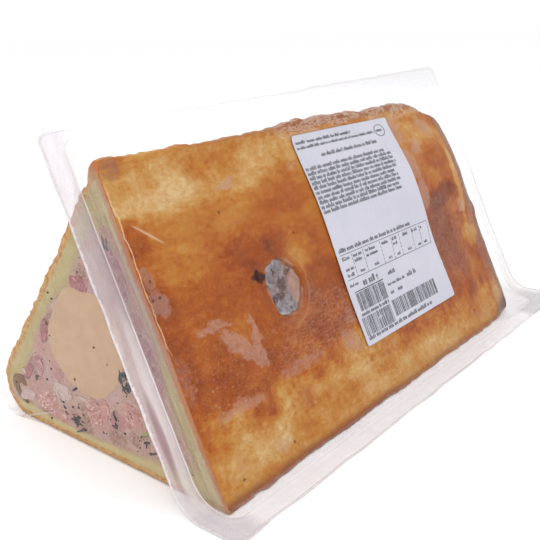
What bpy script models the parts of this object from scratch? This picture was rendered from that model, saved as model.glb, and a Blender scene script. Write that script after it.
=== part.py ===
# Half a pate en croute loaf, cut at one end, sealed in a clear film pack with a flat seal band.
# The loaf is modelled lid up: X runs along the loaf from the cut end, Y across the lid from its
# bottom edge to its top edge, Z out of the lid. A parent empty then leans the whole pack back,
# so that the loaf rests on its lower slanted side.
import math

import bmesh
import bpy
from mathutils import Vector, noise

MM = 0.001

# Loaf
LOAF_LENGTH = 238 * MM
LID_WIDTH = 130 * MM
BASE_ANGLE = math.radians(64.5)     # between the lid and each slanted side
LID_CORNER_RADII = (2 * MM, 2.5 * MM)   # at the lid's bottom edge and at its top edge
LID_LIP = 1.6 * MM                  # how far the lid's top edge stands proud
APEX_RADIUS = 15 * MM
END_RADIUS = 13 * MM                # rounding of the far, uncut end
END_REACH = (1.5 * MM, 6 * MM)      # how far the far end reaches at the lid's top and lower down it
END_REACH_Y = (50 * MM, 85 * MM)    # where one changes into the other
END_SQUARE = 0.9                    # how much squarer the lid's edge is there
LID_SWELL = 6.5 * MM                # how far the lid stands out of its plane under the label
LID_SWELL_CENTRE = (205 * MM, 92 * MM)
LID_SWELL_REACH = (95 * MM, 30 * MM)

# Pastry and what fills it
LID_THICKNESS = 5 * MM
UPPER_THICKNESS = 8 * MM
LOWER_THICKNESS = 6 * MM
END_THICKNESS = 10 * MM
CAVITY_RADII = (12 * MM, 9 * MM, 5 * MM)
LIVER_CENTRE = (72.4 * MM, -47.4 * MM)
LIVER_RADII = (19.8 * MM, 20.8 * MM)
ASPIC_DEPTH = 100.5 * MM            # the jelly seam fills the tip of the cavity below this depth

# Chimney hole through the lid
CHIMNEY_CENTRE = (67 * MM, 67 * MM)
CHIMNEY_RADII = (9.5 * MM, 12 * MM)
CHIMNEY_TURN = math.radians(-20)
CHIMNEY_TAPER = 0.78                # width of the hole at its foot over its width at the lid
JELLY_RECESS = 1.6 * MM

# Pieces that show in the cut face: centre (y, z), radii (y, z) and turn
HAM_CHUNKS = (
    ((41, -32), (6.2, 7.6), 20),
    ((57.5, -84.5), (4.6, 7.4), 25),
    ((95.6, -34.5), (3.8, 5.2), 25),
    ((78, -18.8), (7.5, 4), -5),
    ((29.5, -19.5), (5.4, 4.2), -35),
    ((46, -57.5), (4.4, 5.6), 10),
)
FAT_CHUNKS = (
    ((66, -92.5), (2.3, 3), -20),
    ((66, -76.5), (3.8, 4.2), 15),
    ((101, -19.5), (4, 2.8), -10),
)
MUSHROOM_BITS = (
    ((49.5, -24), (1.6, 4.2), 55),
    ((48.5, -71), (2, 4.2), -35),
    ((36, -45), (1.5, 3.8), 10),
    ((92, -19), (3.4, 1.5), 12),
)
CHUNK_DEPTH = 9 * MM

# Film pack
FLANGE_DEPTH = 11.5 * MM            # seal band below the lid
FILM_SOLID = 1 * MM                 # thickness that stands for the two sealed webs
BAND_OUTER = (-10.5 * MM, 284 * MM, -18.5 * MM, 152.5 * MM)     # x low, x high, y low, y high
BAND_INNER = (-0.9 * MM, 274 * MM, -9 * MM, 144.3 * MM)
BAND_OUTER_RADIUS = 5 * MM
BAND_INNER_RADIUS = 12 * MM
BEND_RADIUS = 14 * MM               # the lower band bends forward to lie on what the pack stands on
BAND_RIPPLE = 1.1 * MM

# Label
LABEL_X = (107 * MM, 189.4 * MM)
LABEL_Y = (26 * MM, 126.2 * MM)
LABEL_RADIUS = 4 * MM
LABEL_THICKNESS = 0.4 * MM
LABEL_LIFT = 0.5 * MM

GAP = 0.3 * MM

SIN_B = math.sin(BASE_ANGLE)
COS_B = math.cos(BASE_ANGLE)


def smooth_step(value, low, high):
    t = min(max((value - low) / (high - low), 0), 1)
    return t * t * (3 - 2 * t)


# Sections of the loaf

def inset_corners(lid, upper, lower):
    # Corners of the triangle whose three sides are moved inwards by the given amounts.
    apex_angle = math.pi - 2 * BASE_ANGLE
    bottom = Vector(((lower + lid * COS_B) / SIN_B, -lid))
    top = Vector((LID_WIDTH - (upper + lid * COS_B) / SIN_B, -lid))
    width = top.x - bottom.x
    reach = width * SIN_B / math.sin(apex_angle)
    return bottom, top, bottom + reach * Vector((COS_B, -SIN_B))


def fillet(corner, before, after, radius, count):
    # Points of the arc that rounds a corner, from the side before it to the side after it.
    back = (before - corner).normalized()
    ahead = (after - corner).normalized()
    half = back.angle(ahead) / 2
    centre = corner + (back + ahead).normalized() * radius / math.sin(half)
    start = corner + back * radius / math.tan(half) - centre
    sweep = math.pi - 2 * half
    turn = -1 if back.x * ahead.y - back.y * ahead.x > 0 else 1
    points = []
    for i in range(count + 1):
        a = turn * sweep * i / count
        spoke = Vector((start.x * math.cos(a) - start.y * math.sin(a),
                        start.x * math.sin(a) + start.y * math.cos(a)))
        points.append(centre + spoke)
    return points


def rounded_triangle(corners, radii, side_counts, arc_counts):
    # Closed outline of (y, z) points: each corner's arc, then the side that follows it.
    arcs = []
    for i, corner in enumerate(corners):
        arcs.append(fillet(corner, corners[i - 1], corners[(i + 1) % 3], radii[i], arc_counts[i]))
    outline = []
    for i, arc in enumerate(arcs):
        outline += arc
        start, end = arc[-1], arcs[(i + 1) % 3][0]
        outline += [start.lerp(end, k / side_counts[i]) for k in range(1, side_counts[i])]
    return outline


def outward_normals(outline):
    normals = []
    for i, point in enumerate(outline):
        along = outline[(i + 1) % len(outline)] - outline[i - 1]
        normals.append(Vector((-along.y, along.x)).normalized())
    return normals


def lid_swelling(x, y):
    along = (x - LID_SWELL_CENTRE[0]) / LID_SWELL_REACH[0]
    across = (y - LID_SWELL_CENTRE[1]) / LID_SWELL_REACH[1]
    return LID_SWELL * math.exp(-along ** 2 - across ** 2)


def relief(x, y, z, normal):
    # Height of the baked crust over its smooth form.
    lower_side = normal.dot(Vector((-SIN_B, -COS_B)))
    free = 1 - smooth_step(lower_side, 0.9, 0.995)
    lid = smooth_step(normal.y, 0.8, 0.98)
    place = Vector((x, y, z))
    rough = noise.noise(place * 95) * 1.0 * MM + noise.noise(place * 260) * 0.55 * MM
    swell = noise.noise(place * 28) * 1.0 * MM
    under_label = (smooth_step(x, LABEL_X[0] - 12 * MM, LABEL_X[0] + 2 * MM)
                   * smooth_step(-x, -LABEL_X[1] - 12 * MM, -LABEL_X[1] + 2 * MM)
                   * smooth_step(y, LABEL_Y[0] - 12 * MM, LABEL_Y[0] + 2 * MM) * lid)
    height = free * (1 - under_label) * ((1 - 0.55 * lid) * rough + (1 - 0.3 * lid) * swell)
    # wrinkled ridge along the lid's top edge, above the label
    ridge = math.exp(-((y - 129 * MM) / (5 * MM)) ** 2) * smooth_step(x, 84 * MM, 110 * MM)
    ridge *= smooth_step(-x, -232 * MM, -205 * MM) * smooth_step(z, -14 * MM, -4 * MM)
    height += ridge * (1.5 + 0.9 * math.sin(x / (4.2 * MM)) * (1 - lid)) * MM
    height += lid * lid_swelling(x, y)
    # lip along the lid's top edge
    height += LID_LIP * math.exp(-((y - LID_WIDTH) / (6 * MM)) ** 2) * smooth_step(z, -12 * MM, -3 * MM)
    # puffed rim round the chimney hole
    dx, dy = x - CHIMNEY_CENTRE[0], y - CHIMNEY_CENTRE[1]
    reach = math.hypot(dx, dy)
    height += lid * 1.0 * MM * math.exp(-((reach - 15 * MM) / (5 * MM)) ** 2)
    # torn scar beside the cut edge
    scar = math.exp(-((x - 5 * MM) / (4 * MM)) ** 2 - ((y - 80 * MM) / (9 * MM)) ** 2)
    return height - 1.1 * MM * scar * lid


def end_shape(x):
    # How far the sides draw in as the loaf rounds over at its far end.
    into = x - (LOAF_LENGTH - END_RADIUS)
    if into <= 0:
        return 0
    return END_RADIUS - math.sqrt(max(END_RADIUS ** 2 - into ** 2, 0))


OUTER_SIDES = (20, 16, 12)
OUTER_ARCS = (4, 4, 6)


def loaf_ring(x, grow=0.0):
    # One section of the loaf, with nothing below the plane of the lower side that it rests on.
    resting = Vector((SIN_B, COS_B))
    inset = end_shape(x)
    far = smooth_step(x, 205 * MM, LOAF_LENGTH)
    reach = smooth_step(x, 195 * MM, LOAF_LENGTH)
    lid_inset = inset * 0.75
    upper_inset = inset * 1.15 + 1.5 * MM * far
    corners = inset_corners(lid_inset, upper_inset, 0.3 * inset)
    low, top = LID_CORNER_RADII
    radii = (low + 2 * MM * far, top + 9 * MM * far, APEX_RADIUS)
    outline = rounded_triangle(corners, radii, OUTER_SIDES, OUTER_ARCS)
    ring = []
    for point, normal in zip(outline, outward_normals(outline)):
        moved = point + normal * relief(x, point.x, point.y, normal)
        lower_half = 1 - smooth_step(point.x, *END_REACH_Y)
        moved.y += lid_inset * END_SQUARE * lower_half * smooth_step(point.y, -30 * MM, -8 * MM)
        under = min(moved.dot(resting), 0)
        moved += normal * grow - under * resting
        further = END_REACH[0] + (END_REACH[1] - END_REACH[0]) * lower_half
        further *= reach * (0.4 + 0.6 * smooth_step(point.y, -70 * MM, -10 * MM))
        ring.append(Vector((x + further, moved.x, moved.y)))
    return ring


def loaf_stations():
    start = LOAF_LENGTH - END_RADIUS
    straight = [start * k / 24 for k in range(25)]
    return straight + [start + END_RADIUS * math.sin(math.radians(a)) for a in (25, 45, 62, 76, 90)]


def cavity_ring(x, inset):
    corners = inset_corners(LID_THICKNESS + inset, UPPER_THICKNESS + inset, LOWER_THICKNESS + inset)
    outline = rounded_triangle(corners, CAVITY_RADII, (8, 12, 12), (4, 4, 4))
    ring = []
    for point, normal in zip(outline, outward_normals(outline)):
        side = 1 - smooth_step(normal.y, 0.6, 0.95)
        wave = side * noise.noise(Vector((x * 30, point.x * 90, point.y * 90)))
        moved = point - normal * (0.7 * MM + 0.7 * MM * wave) * side
        ring.append(Vector((x, moved.x, moved.y)))
    return ring


def oval_ring(x, centre, radii, scale, count=32):
    ring = []
    for k in range(count):
        a = 2 * math.pi * k / count
        lumpy = 1 + 0.035 * math.sin(2 * a + 0.6) + 0.025 * math.sin(5 * a + x * 25)
        ring.append(Vector((x, centre[0] + radii[0] * scale * lumpy * math.cos(a),
                            centre[1] + radii[1] * scale * lumpy * math.sin(a))))
    return ring


# Mesh helpers

def new_object(name, bm, material=None):
    bmesh.ops.recalc_face_normals(bm, faces=bm.faces)
    mesh = bpy.data.meshes.new(name)
    bm.to_mesh(mesh)
    bm.free()
    piece = bpy.data.objects.new(name, mesh)
    bpy.context.collection.objects.link(piece)
    if material:
        mesh.materials.append(material)
        mesh.shade_smooth()
        mesh.set_sharp_from_angle(angle=math.radians(40))
        piece.parent = pack
    return piece


def loft(rings, closed_loop=False):
    # Skin through rings of equal count, with flat caps unless the rings form a loop.
    bm = bmesh.new()
    rows = [[bm.verts.new(point) for point in ring] for ring in rings]
    count = len(rows[0])
    pairs = list(zip(rows, rows[1:])) + ([(rows[-1], rows[0])] if closed_loop else [])
    for one, other in pairs:
        for k in range(count):
            bm.faces.new((one[k], one[(k + 1) % count], other[(k + 1) % count], other[k]))
    # every quad is split along the same diagonal, so that a grown copy stays parallel
    bmesh.ops.triangulate(bm, faces=bm.faces, quad_method="FIXED")
    if not closed_loop:
        caps = [bm.faces.new(rows[0]), bm.faces.new(rows[-1])]
        bmesh.ops.poke(bm, faces=caps)
    return bm


def subtract(piece, cutters):
    # Cut the cutters out of a piece one after the other and leave only the piece.
    for cutter in cutters:
        cut = piece.modifiers.new("cut", "BOOLEAN")
        cut.operation = "DIFFERENCE"
        cut.solver = "EXACT"
        cut.object = cutter
    bpy.context.view_layer.update()
    evaluated = piece.evaluated_get(bpy.context.evaluated_depsgraph_get())
    mesh = bpy.data.meshes.new_from_object(evaluated)
    piece.modifiers.clear()
    piece.data = mesh
    for cutter in cutters:
        bpy.data.objects.remove(cutter)


def finish_material(name, colour, roughness, alpha=1.0):
    material = bpy.data.materials.new(name)
    material.use_nodes = True
    shader = material.node_tree.nodes["Principled BSDF"]
    shader.inputs["Base Color"].default_value = (*colour, 1)
    shader.inputs["Roughness"].default_value = roughness
    shader.inputs["Alpha"].default_value = alpha
    return material


# Sub-parts

def crust_shell():
    shell = new_object("crust", loft([loaf_ring(x) for x in loaf_stations()]),
                       finish_material("baked crust", (0.52, 0.24, 0.07), 0.45))
    end = LOAF_LENGTH - END_THICKNESS
    stations = [-2 * MM] + [end * k / 7 for k in range(8)]
    cavity = new_object("cavity", loft([cavity_ring(x, 0) for x in stations]))
    hole = new_object("hole", chimney_bore(4 * MM, -LID_THICKNESS - 1 * MM, 0))
    cavity.parent = hole.parent = pack
    subtract(shell, [cavity, hole])
    return shell


def chimney_ring(z, shrink, count=20):
    # One level of the chimney hole: an uneven oval that narrows towards its foot.
    depth = smooth_step(-z, 0, LID_THICKNESS)
    narrow = 1 - (1 - CHIMNEY_TAPER) * depth
    ring = []
    for k in range(count):
        a = 2 * math.pi * k / count
        uneven = 1 + 0.06 * math.sin(3 * a + 1) + 0.05 * math.sin(5 * a)
        u = (CHIMNEY_RADII[0] * narrow * uneven - shrink) * math.cos(a)
        v = (CHIMNEY_RADII[1] * narrow * uneven - shrink) * math.sin(a)
        ring.append(Vector((CHIMNEY_CENTRE[0] + u * math.cos(CHIMNEY_TURN) - v * math.sin(CHIMNEY_TURN),
                            CHIMNEY_CENTRE[1] + u * math.sin(CHIMNEY_TURN) + v * math.cos(CHIMNEY_TURN),
                            z)))
    return ring


def chimney_bore(top, foot, shrink):
    levels = [top, 0, -LID_THICKNESS * 0.5, foot]
    return loft([chimney_ring(z, shrink) for z in levels])


def chimney_jelly():
    foot = -LID_THICKNESS - 0.7 * MM + 2 * GAP
    levels = [-JELLY_RECESS, -LID_THICKNESS * 0.5, foot]
    bm = loft([chimney_ring(z, 1.3 * GAP) for z in levels])
    # a lower, lumpy middle to the jelly's top
    top_faces = [f for f in bm.faces if all(v.co.z > -JELLY_RECESS - 1e-6 for v in f.verts)]
    bmesh.ops.inset_region(bm, faces=top_faces, thickness=2.5 * MM, depth=0)
    inner = {v for f in top_faces for v in f.verts}
    for vert in inner:
        vert.co.z -= 1.3 * MM + 0.8 * MM * noise.noise(vert.co * 160)
    return new_object("chimney_jelly", bm, finish_material("grey jelly", (0.22, 0.18, 0.17), 0.15))


def chunk(centre, radii, turn, depth, grow, whole):
    # A lump of meat in the cut face: a half blob with its flat side in the plane of the cut.
    bm = bmesh.new()
    bmesh.ops.create_icosphere(bm, subdivisions=2, radius=1)
    turn = math.radians(turn)
    for vert in bm.verts:
        rough = 1 + 0.16 * noise.noise(vert.co * 1.6 + Vector((centre[0], centre[1], 0)) * 0.37)
        x, y, z = vert.co
        y *= radii[0] * MM * rough + grow
        z *= radii[1] * MM * rough + grow
        vert.co = Vector((x * (depth * rough + grow),
                          centre[0] * MM + y * math.cos(turn) - z * math.sin(turn),
                          centre[1] * MM + y * math.sin(turn) + z * math.cos(turn)))
    if not whole:
        halves = bm.verts[:] + bm.edges[:] + bm.faces[:]
        cut = bmesh.ops.bisect_plane(bm, geom=halves, plane_co=(0, 0, 0), plane_no=(-1, 0, 0),
                                     clear_outer=True)
        rim = [e for e in cut["geom_cut"] if isinstance(e, bmesh.types.BMEdge)]
        bmesh.ops.contextual_create(bm, geom=rim)
    return bm


def chunk_list():
    kinds = (("ham_chunk", HAM_CHUNKS, finish_material("pink ham", (0.6, 0.27, 0.24), 0.35), 1),
             ("fat_chunk", FAT_CHUNKS, finish_material("pale fat", (0.68, 0.52, 0.46), 0.3), 0.8),
             ("mushroom", MUSHROOM_BITS, finish_material("dark mushroom", (0.03, 0.035, 0.035), 0.5), 0.5))
    for name, rows, material, depth in kinds:
        for k, (centre, radii, turn) in enumerate(rows, 1):
            yield f"{name}_{k}", centre, radii, turn, CHUNK_DEPTH * depth, material


def filling():
    # The meat, with room for the liver core, the jelly seam and every chunk in the cut face.
    end = LOAF_LENGTH - END_THICKNESS - GAP
    meat = new_object("forcemeat", loft([cavity_ring(end * k / 7, GAP) for k in range(8)]),
                      finish_material("pink forcemeat", (0.47, 0.26, 0.22), 0.4))
    liver_end = LOAF_LENGTH - 3 * END_THICKNESS
    rows = [(0, 1), (liver_end * 0.25, 1.02), (liver_end * 0.5, 0.98), (liver_end * 0.8, 1),
            (liver_end * 0.94, 0.85), (liver_end, 0.5)]
    new_object("liver_core", loft([oval_ring(x, LIVER_CENTRE, LIVER_RADII, s) for x, s in rows]),
               finish_material("liver", (0.6, 0.4, 0.24), 0.4))
    wide = tuple(r + 1.3 * GAP for r in LIVER_RADII)
    rows[0], rows[-1] = (-2 * MM, 1), (liver_end + GAP, 0.52)
    cutters = [new_object("core room", loft([oval_ring(x, LIVER_CENTRE, wide, s) for x, s in rows]))]
    # seam at the tip of the cavity
    seam = new_object("aspic_seam", loft([cavity_ring(end * k / 7, 1.5 * GAP) for k in range(8)]),
                      finish_material("brown jelly", (0.25, 0.12, 0.05), 0.2))
    rooms = []
    for top, low in ((20 * MM, -ASPIC_DEPTH), (1.5 * GAP - ASPIC_DEPTH, -140 * MM)):
        bm = bmesh.new()
        bmesh.ops.create_cube(bm, size=1)
        bmesh.ops.scale(bm, verts=bm.verts, vec=(LOAF_LENGTH * 1.2, LID_WIDTH * 1.2, top - low))
        bmesh.ops.translate(bm, verts=bm.verts, vec=(LOAF_LENGTH / 2, LID_WIDTH / 2, (top + low) / 2))
        rooms.append(new_object("seam room", bm))
    rooms[1].parent = rooms[0].parent = pack
    subtract(seam, [rooms[0]])
    cutters.append(rooms[1])
    for name, centre, radii, turn, depth, material in chunk_list():
        new_object(name, chunk(centre, radii, turn, depth, 0, False), material)
        cutters.append(new_object("chunk room", chunk(centre, radii, turn, depth, 1.2 * GAP, True)))
    for cutter in cutters:
        cutter.parent = pack
    subtract(meat, cutters)


# Film pack

BEND_START = (FILM_SOLID / 2 + BEND_RADIUS * (1 - COS_B) + FLANGE_DEPTH * COS_B) / SIN_B


def bend(x, y, lift):
    # A point of the seal band: flat behind the lid, then bent forward to run along the floor.
    if y >= BEND_START:
        return Vector((x, y, -FLANGE_DEPTH + lift))
    run = BEND_START - y
    a = min(run / BEND_RADIUS, BASE_ANGLE)
    rest = run - a * BEND_RADIUS
    reach = BEND_RADIUS - lift
    return Vector((x, BEND_START - reach * math.sin(a) - rest * math.cos(a),
                   -FLANGE_DEPTH + BEND_RADIUS - reach * math.cos(a) + rest * math.sin(a)))


def rectangle_stations(box, near_radius, far_radius, side_counts=(15, 9), arc_count=4):
    # Points round a rounded rectangle, each with the side it is on: 0 low y, 1 high x, 2 high y, 3 low x.
    low_x, high_x, low_y, high_y = box
    far, near = far_radius, near_radius
    corners = ((high_x - far, low_y + far, far), (high_x - far, high_y - far, far),
               (low_x + near, high_y - near, near), (low_x + near, low_y + near, near))

    def on_arc(corner, a):
        return Vector((corner[0] + corner[2] * math.cos(a), corner[1] + corner[2] * math.sin(a)))

    stations = []
    for k, corner in enumerate(corners):
        start = (k - 1) * math.pi / 2
        end = start + math.pi / 2
        for i in range(arc_count + 1):
            stations.append((on_arc(corner, start + (end - start) * i / arc_count), k + i / arc_count))
        begin, finish = stations[-1][0], on_arc(corners[(k + 1) % 4], end)
        count = side_counts[(k + 1) % 2]
        stations += [(begin.lerp(finish, i / count), k + 1) for i in range(1, count)]
    return stations


def by_side(values, side):
    # Blend a value given for the four sides as the outline turns each corner.
    k = int(side) % 4
    return values[k] + (values[(k + 1) % 4] - values[k]) * (side - int(side))


def film_pack():
    half = FILM_SOLID / 2
    outer = rectangle_stations(BAND_OUTER, BAND_OUTER_RADIUS, BAND_OUTER_RADIUS)
    inner = rectangle_stations(BAND_INNER, BAND_INNER_RADIUS, BAND_INNER_RADIUS)
    edge = rectangle_stations((2 * MM, LOAF_LENGTH - 4 * MM, -0.8 * MM, LID_WIDTH - 5 * MM), 1 * MM,
                              END_RADIUS + 9 * MM)
    rings = []
    for (far, side), (rim, _), (near, _) in zip(outer, inner, edge):
        ripple = BAND_RIPPLE * noise.noise(Vector((far.x * 22, far.y * 22, 3)))
        flat = smooth_step(far.y, 18 * MM, 45 * MM)
        wave = ripple * flat
        far_wave = far + (far - rim).normalized() * 1.2 * ripple
        fade = smooth_step(near.y, 5 * MM, 34 * MM)
        top = by_side((5.5 * MM, 6 * MM + 2.5 * MM * fade, 9.5 * MM, 1.2 * MM), side)
        foot = by_side((-half, -half - 16 * MM * fade, -14.5 * MM * fade - half, -half), side)
        low = near.copy()
        low.y -= by_side((0, 0, 7 * MM, 0), side)
        rings.append([bend(far_wave.x, far_wave.y, half + wave), bend(rim.x, rim.y, half),
                      bend(near.x, near.y, top), bend(low.x, low.y, foot),
                      bend(rim.x, rim.y, -half), bend(far_wave.x, far_wave.y, -half + wave)])
    film = new_object("film_pack", loft(rings, closed_loop=True),
                      finish_material("clear film", (0.85, 0.83, 0.83), 0.1, 0.35))
    rings = [loaf_ring(x, 1.6 * GAP) for x in loaf_stations()]
    for point in rings[0]:
        point.x -= 1.3 * GAP
    for point in rings[-1]:
        point.x += 1.6 * GAP
    room = new_object("loaf room", loft(rings))
    room.parent = pack
    subtract(film, [room])


def lid_height(x, y):
    lid_normal = Vector((0, 1))
    return relief(x, y, 0, lid_normal)


def label():
    # Paper sheet with rounded corners that follows the lid just above it.
    count = 10
    rows = [LABEL_Y[0] + LABEL_RADIUS * (1 - math.cos(math.radians(a))) for a in (0, 30, 60, 90)]
    inner = (LABEL_Y[1] - LABEL_RADIUS - rows[-1])
    rows += [rows[3] + inner * k / 10 for k in range(1, 11)]
    rows += [LABEL_Y[1] - (y - LABEL_Y[0]) for y in reversed(rows[:3])]
    bm = bmesh.new()
    sheets = []
    for lift in (LABEL_LIFT, LABEL_LIFT + LABEL_THICKNESS):
        sheet = []
        for y in rows:
            into = max(LABEL_RADIUS - min(y - LABEL_Y[0], LABEL_Y[1] - y), 0)
            side = LABEL_RADIUS - math.sqrt(max(LABEL_RADIUS ** 2 - into ** 2, 0))
            low, high = LABEL_X[0] + side, LABEL_X[1] - side
            line = []
            for k in range(count + 1):
                x = low + (high - low) * k / count
                line.append(bm.verts.new((x, y, lid_height(x, y) + lift)))
            sheet.append(line)
        sheets.append(sheet)
    under, upper = sheets
    last = len(rows) - 1
    for r in range(last):
        for k in range(count):
            for sheet in sheets:
                bm.faces.new((sheet[r][k], sheet[r][k + 1], sheet[r + 1][k + 1], sheet[r + 1][k]))
        for k in (0, count):
            bm.faces.new((under[r][k], under[r + 1][k], upper[r + 1][k], upper[r][k]))
    for k in range(count):
        for r in (0, last):
            bm.faces.new((under[r][k], under[r][k + 1], upper[r][k + 1], upper[r][k]))
    new_object("label", bm, finish_material("label paper", (0.8, 0.8, 0.84), 0.45))


for old in list(bpy.data.objects):
    bpy.data.objects.remove(old)

# The empty leans the pack back until the loaf's lower slanted side is level, and sets the
# origin under the middle of the pack.
pack = bpy.data.objects.new("pack", None)
bpy.context.collection.objects.link(pack)
pack.rotation_euler = (BASE_ANGLE, 0, 0)

crust_shell()
filling()
chimney_jelly()
film_pack()
label()

bpy.context.view_layer.update()
corners = [piece.matrix_world @ vert.co for piece in bpy.data.objects if piece.type == "MESH"
           for vert in piece.data.vertices]
middle_x = (min(c.x for c in corners) + max(c.x for c in corners)) / 2
middle_y = (min(c.y for c in corners) + max(c.y for c in corners)) / 2
pack.location = (-middle_x, -middle_y, -min(c.z for c in corners))
print("pack location", [round(v / MM, 3) for v in pack.location])
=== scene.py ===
# Looks for half a pate en croute loaf, cut at one end, in its clear film pack with a label on the lid.
import math
import random

import bmesh
import bpy
from mathutils import Matrix, Vector, noise


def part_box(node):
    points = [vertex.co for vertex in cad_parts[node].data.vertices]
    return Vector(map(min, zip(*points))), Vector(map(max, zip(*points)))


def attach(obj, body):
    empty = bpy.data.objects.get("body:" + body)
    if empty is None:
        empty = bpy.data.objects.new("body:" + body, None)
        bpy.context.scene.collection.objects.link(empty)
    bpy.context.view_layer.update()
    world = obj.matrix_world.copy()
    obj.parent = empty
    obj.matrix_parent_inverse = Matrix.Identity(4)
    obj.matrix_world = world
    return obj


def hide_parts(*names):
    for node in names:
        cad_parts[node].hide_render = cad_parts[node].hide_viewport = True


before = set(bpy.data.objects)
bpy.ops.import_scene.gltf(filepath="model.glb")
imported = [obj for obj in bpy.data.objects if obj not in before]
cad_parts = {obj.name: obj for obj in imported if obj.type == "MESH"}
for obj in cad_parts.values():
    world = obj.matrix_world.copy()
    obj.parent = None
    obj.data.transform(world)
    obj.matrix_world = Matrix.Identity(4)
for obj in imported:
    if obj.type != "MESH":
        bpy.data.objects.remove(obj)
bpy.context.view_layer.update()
print("frame loaded,", len(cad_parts), "nodes")

# The loaf is modelled lid up, in millimetres: x along it from the cut end, y up across the lid, z out
# of the lid. toWorld then leans it back onto its lower slanted side, where the frame's solids lie.
lean = math.radians(64.5)
sinLean, cosLean = math.sin(lean), math.cos(lean)
packPlace = Vector((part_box("crust")[0].x, -0.060837, 0))
toWorld = Matrix.Translation(packPlace) @ Matrix.Rotation(lean, 4, "X") @ Matrix.Scale(0.001, 4)

loaf = {
    "length": 238, "width": 130, "lidCorners": (1.2, 1.2), "tip": 15, "endRadius": 13, "lip": 2.8,
    "endReach": (3.6, 6.2), "endReachY": (50, 85), "endSquare": (0.62, 0.92),
    "lidPastry": 5, "upperPastry": 8, "lowerPastry": 6, "endPastry": 10, "cavityRadii": (12, 9, 5),
    "swelling": 6.5, "swellingAt": (205, 92), "swellingReach": (95, 30), "floorGap": 0.35,
    "endFrom": 195, "endFall": 0.75, "cornerTrim": 4,   # how the lid rounds over at its far end
    "crumbAt": (65, -3), "crumb": 3.5,                  # a crumb baked on the end
    "ridge": (84, 232), "ridgeHeight": 1.1, "scarAt": (5, 80),
}
chimney = {
    "centre": (67.3, 66), "radii": (10, 11.3), "turn": math.radians(-12), "depth": 8.5,
    "points": 72, "topRings": 20,
    # dark bits in the jelly: middle and half widths
    "bits": (((68.2, 67.2), (3.4, 3.4)), ((63.6, 62.6), (5, 1.9)), ((74, 71.5), (2.6, 1.8)),
             ((59.2, 68.4), (1.3, 1.3)), ((66, 73.5), (1, 2.6)), ((59.5, 60.5), (1, 0.8))),
}
label = {
    "x": (105.7, 190.6), "y": (26, 126.2), "slant": 6.2, "corner": 0.8, "lift": 0.75, "paper": 0.18,
}


def smoothStep(value, low, high):
    t = min(max((value - low) / (high - low), 0), 1)
    return t * t * (3 - 2 * t)


def bump(value, centre, width):
    return math.exp(-((value - centre) / width) ** 2)


def turned(x, y, turn):
    # a place as seen along axes that are turned
    c, s = math.cos(turn), math.sin(turn)
    return x * c + y * s, y * c - x * s


# Outlines of the loaf's section

ringSides, ringArcs = (98, 72, 68), (8, 8, 22)          # points along the sides and round the corners


def insetCorners(lid, upper, lower):
    # corners (y, z) of the triangle with its three sides moved inwards
    bottom = Vector(((lower + lid * cosLean) / sinLean, -lid))
    top = Vector((loaf["width"] - (upper + lid * cosLean) / sinLean, -lid))
    reach = (top.x - bottom.x) * sinLean / math.sin(math.pi - 2 * lean)
    return bottom, top, bottom + reach * Vector((cosLean, -sinLean))


def fillet(corner, before, after, radius, count):
    # points on the arc that rounds a corner
    back = (before - corner).normalized()
    ahead = (after - corner).normalized()
    half = back.angle(ahead) / 2
    centre = corner + (back + ahead).normalized() * radius / math.sin(half)
    start = corner + back * radius / math.tan(half) - centre
    sweep = math.pi - 2 * half
    turn = -1 if back.x * ahead.y - back.y * ahead.x > 0 else 1
    return [centre + Matrix.Rotation(turn * sweep * i / count, 2) @ start for i in range(count + 1)]


def roundedTriangle(corners, radii, sides, arcs):
    # each corner's arc, then the side that follows it
    bends = [fillet(corner, corners[i - 1], corners[(i + 1) % 3], radii[i], arcs[i])
             for i, corner in enumerate(corners)]
    outline = []
    for i, arc in enumerate(bends):
        outline += arc
        outline += [arc[-1].lerp(bends[(i + 1) % 3][0], k / sides[i]) for k in range(1, sides[i])]
    return outline


def outwardNormals(outline):
    normals = []
    for i in range(len(outline)):
        along = outline[(i + 1) % len(outline)] - outline[i - 1]
        normals.append(Vector((-along.y, along.x)).normalized())
    return normals


def overLabel(x, y, margin):
    # 1 under the label, fading to 0 over the margin round it
    low, high = label["x"]
    return (smoothStep(x, low - margin, low + 2) * smoothStep(-x, -high - margin, 2 - high)
            * smoothStep(y, label["y"][0] - margin, label["y"][0] + 2))


def lidSwelling(x, y):
    (cx, cy), (rx, ry) = loaf["swellingAt"], loaf["swellingReach"]
    return loaf["swelling"] * bump(x, cx, rx) * bump(y, cy, ry)


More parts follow.
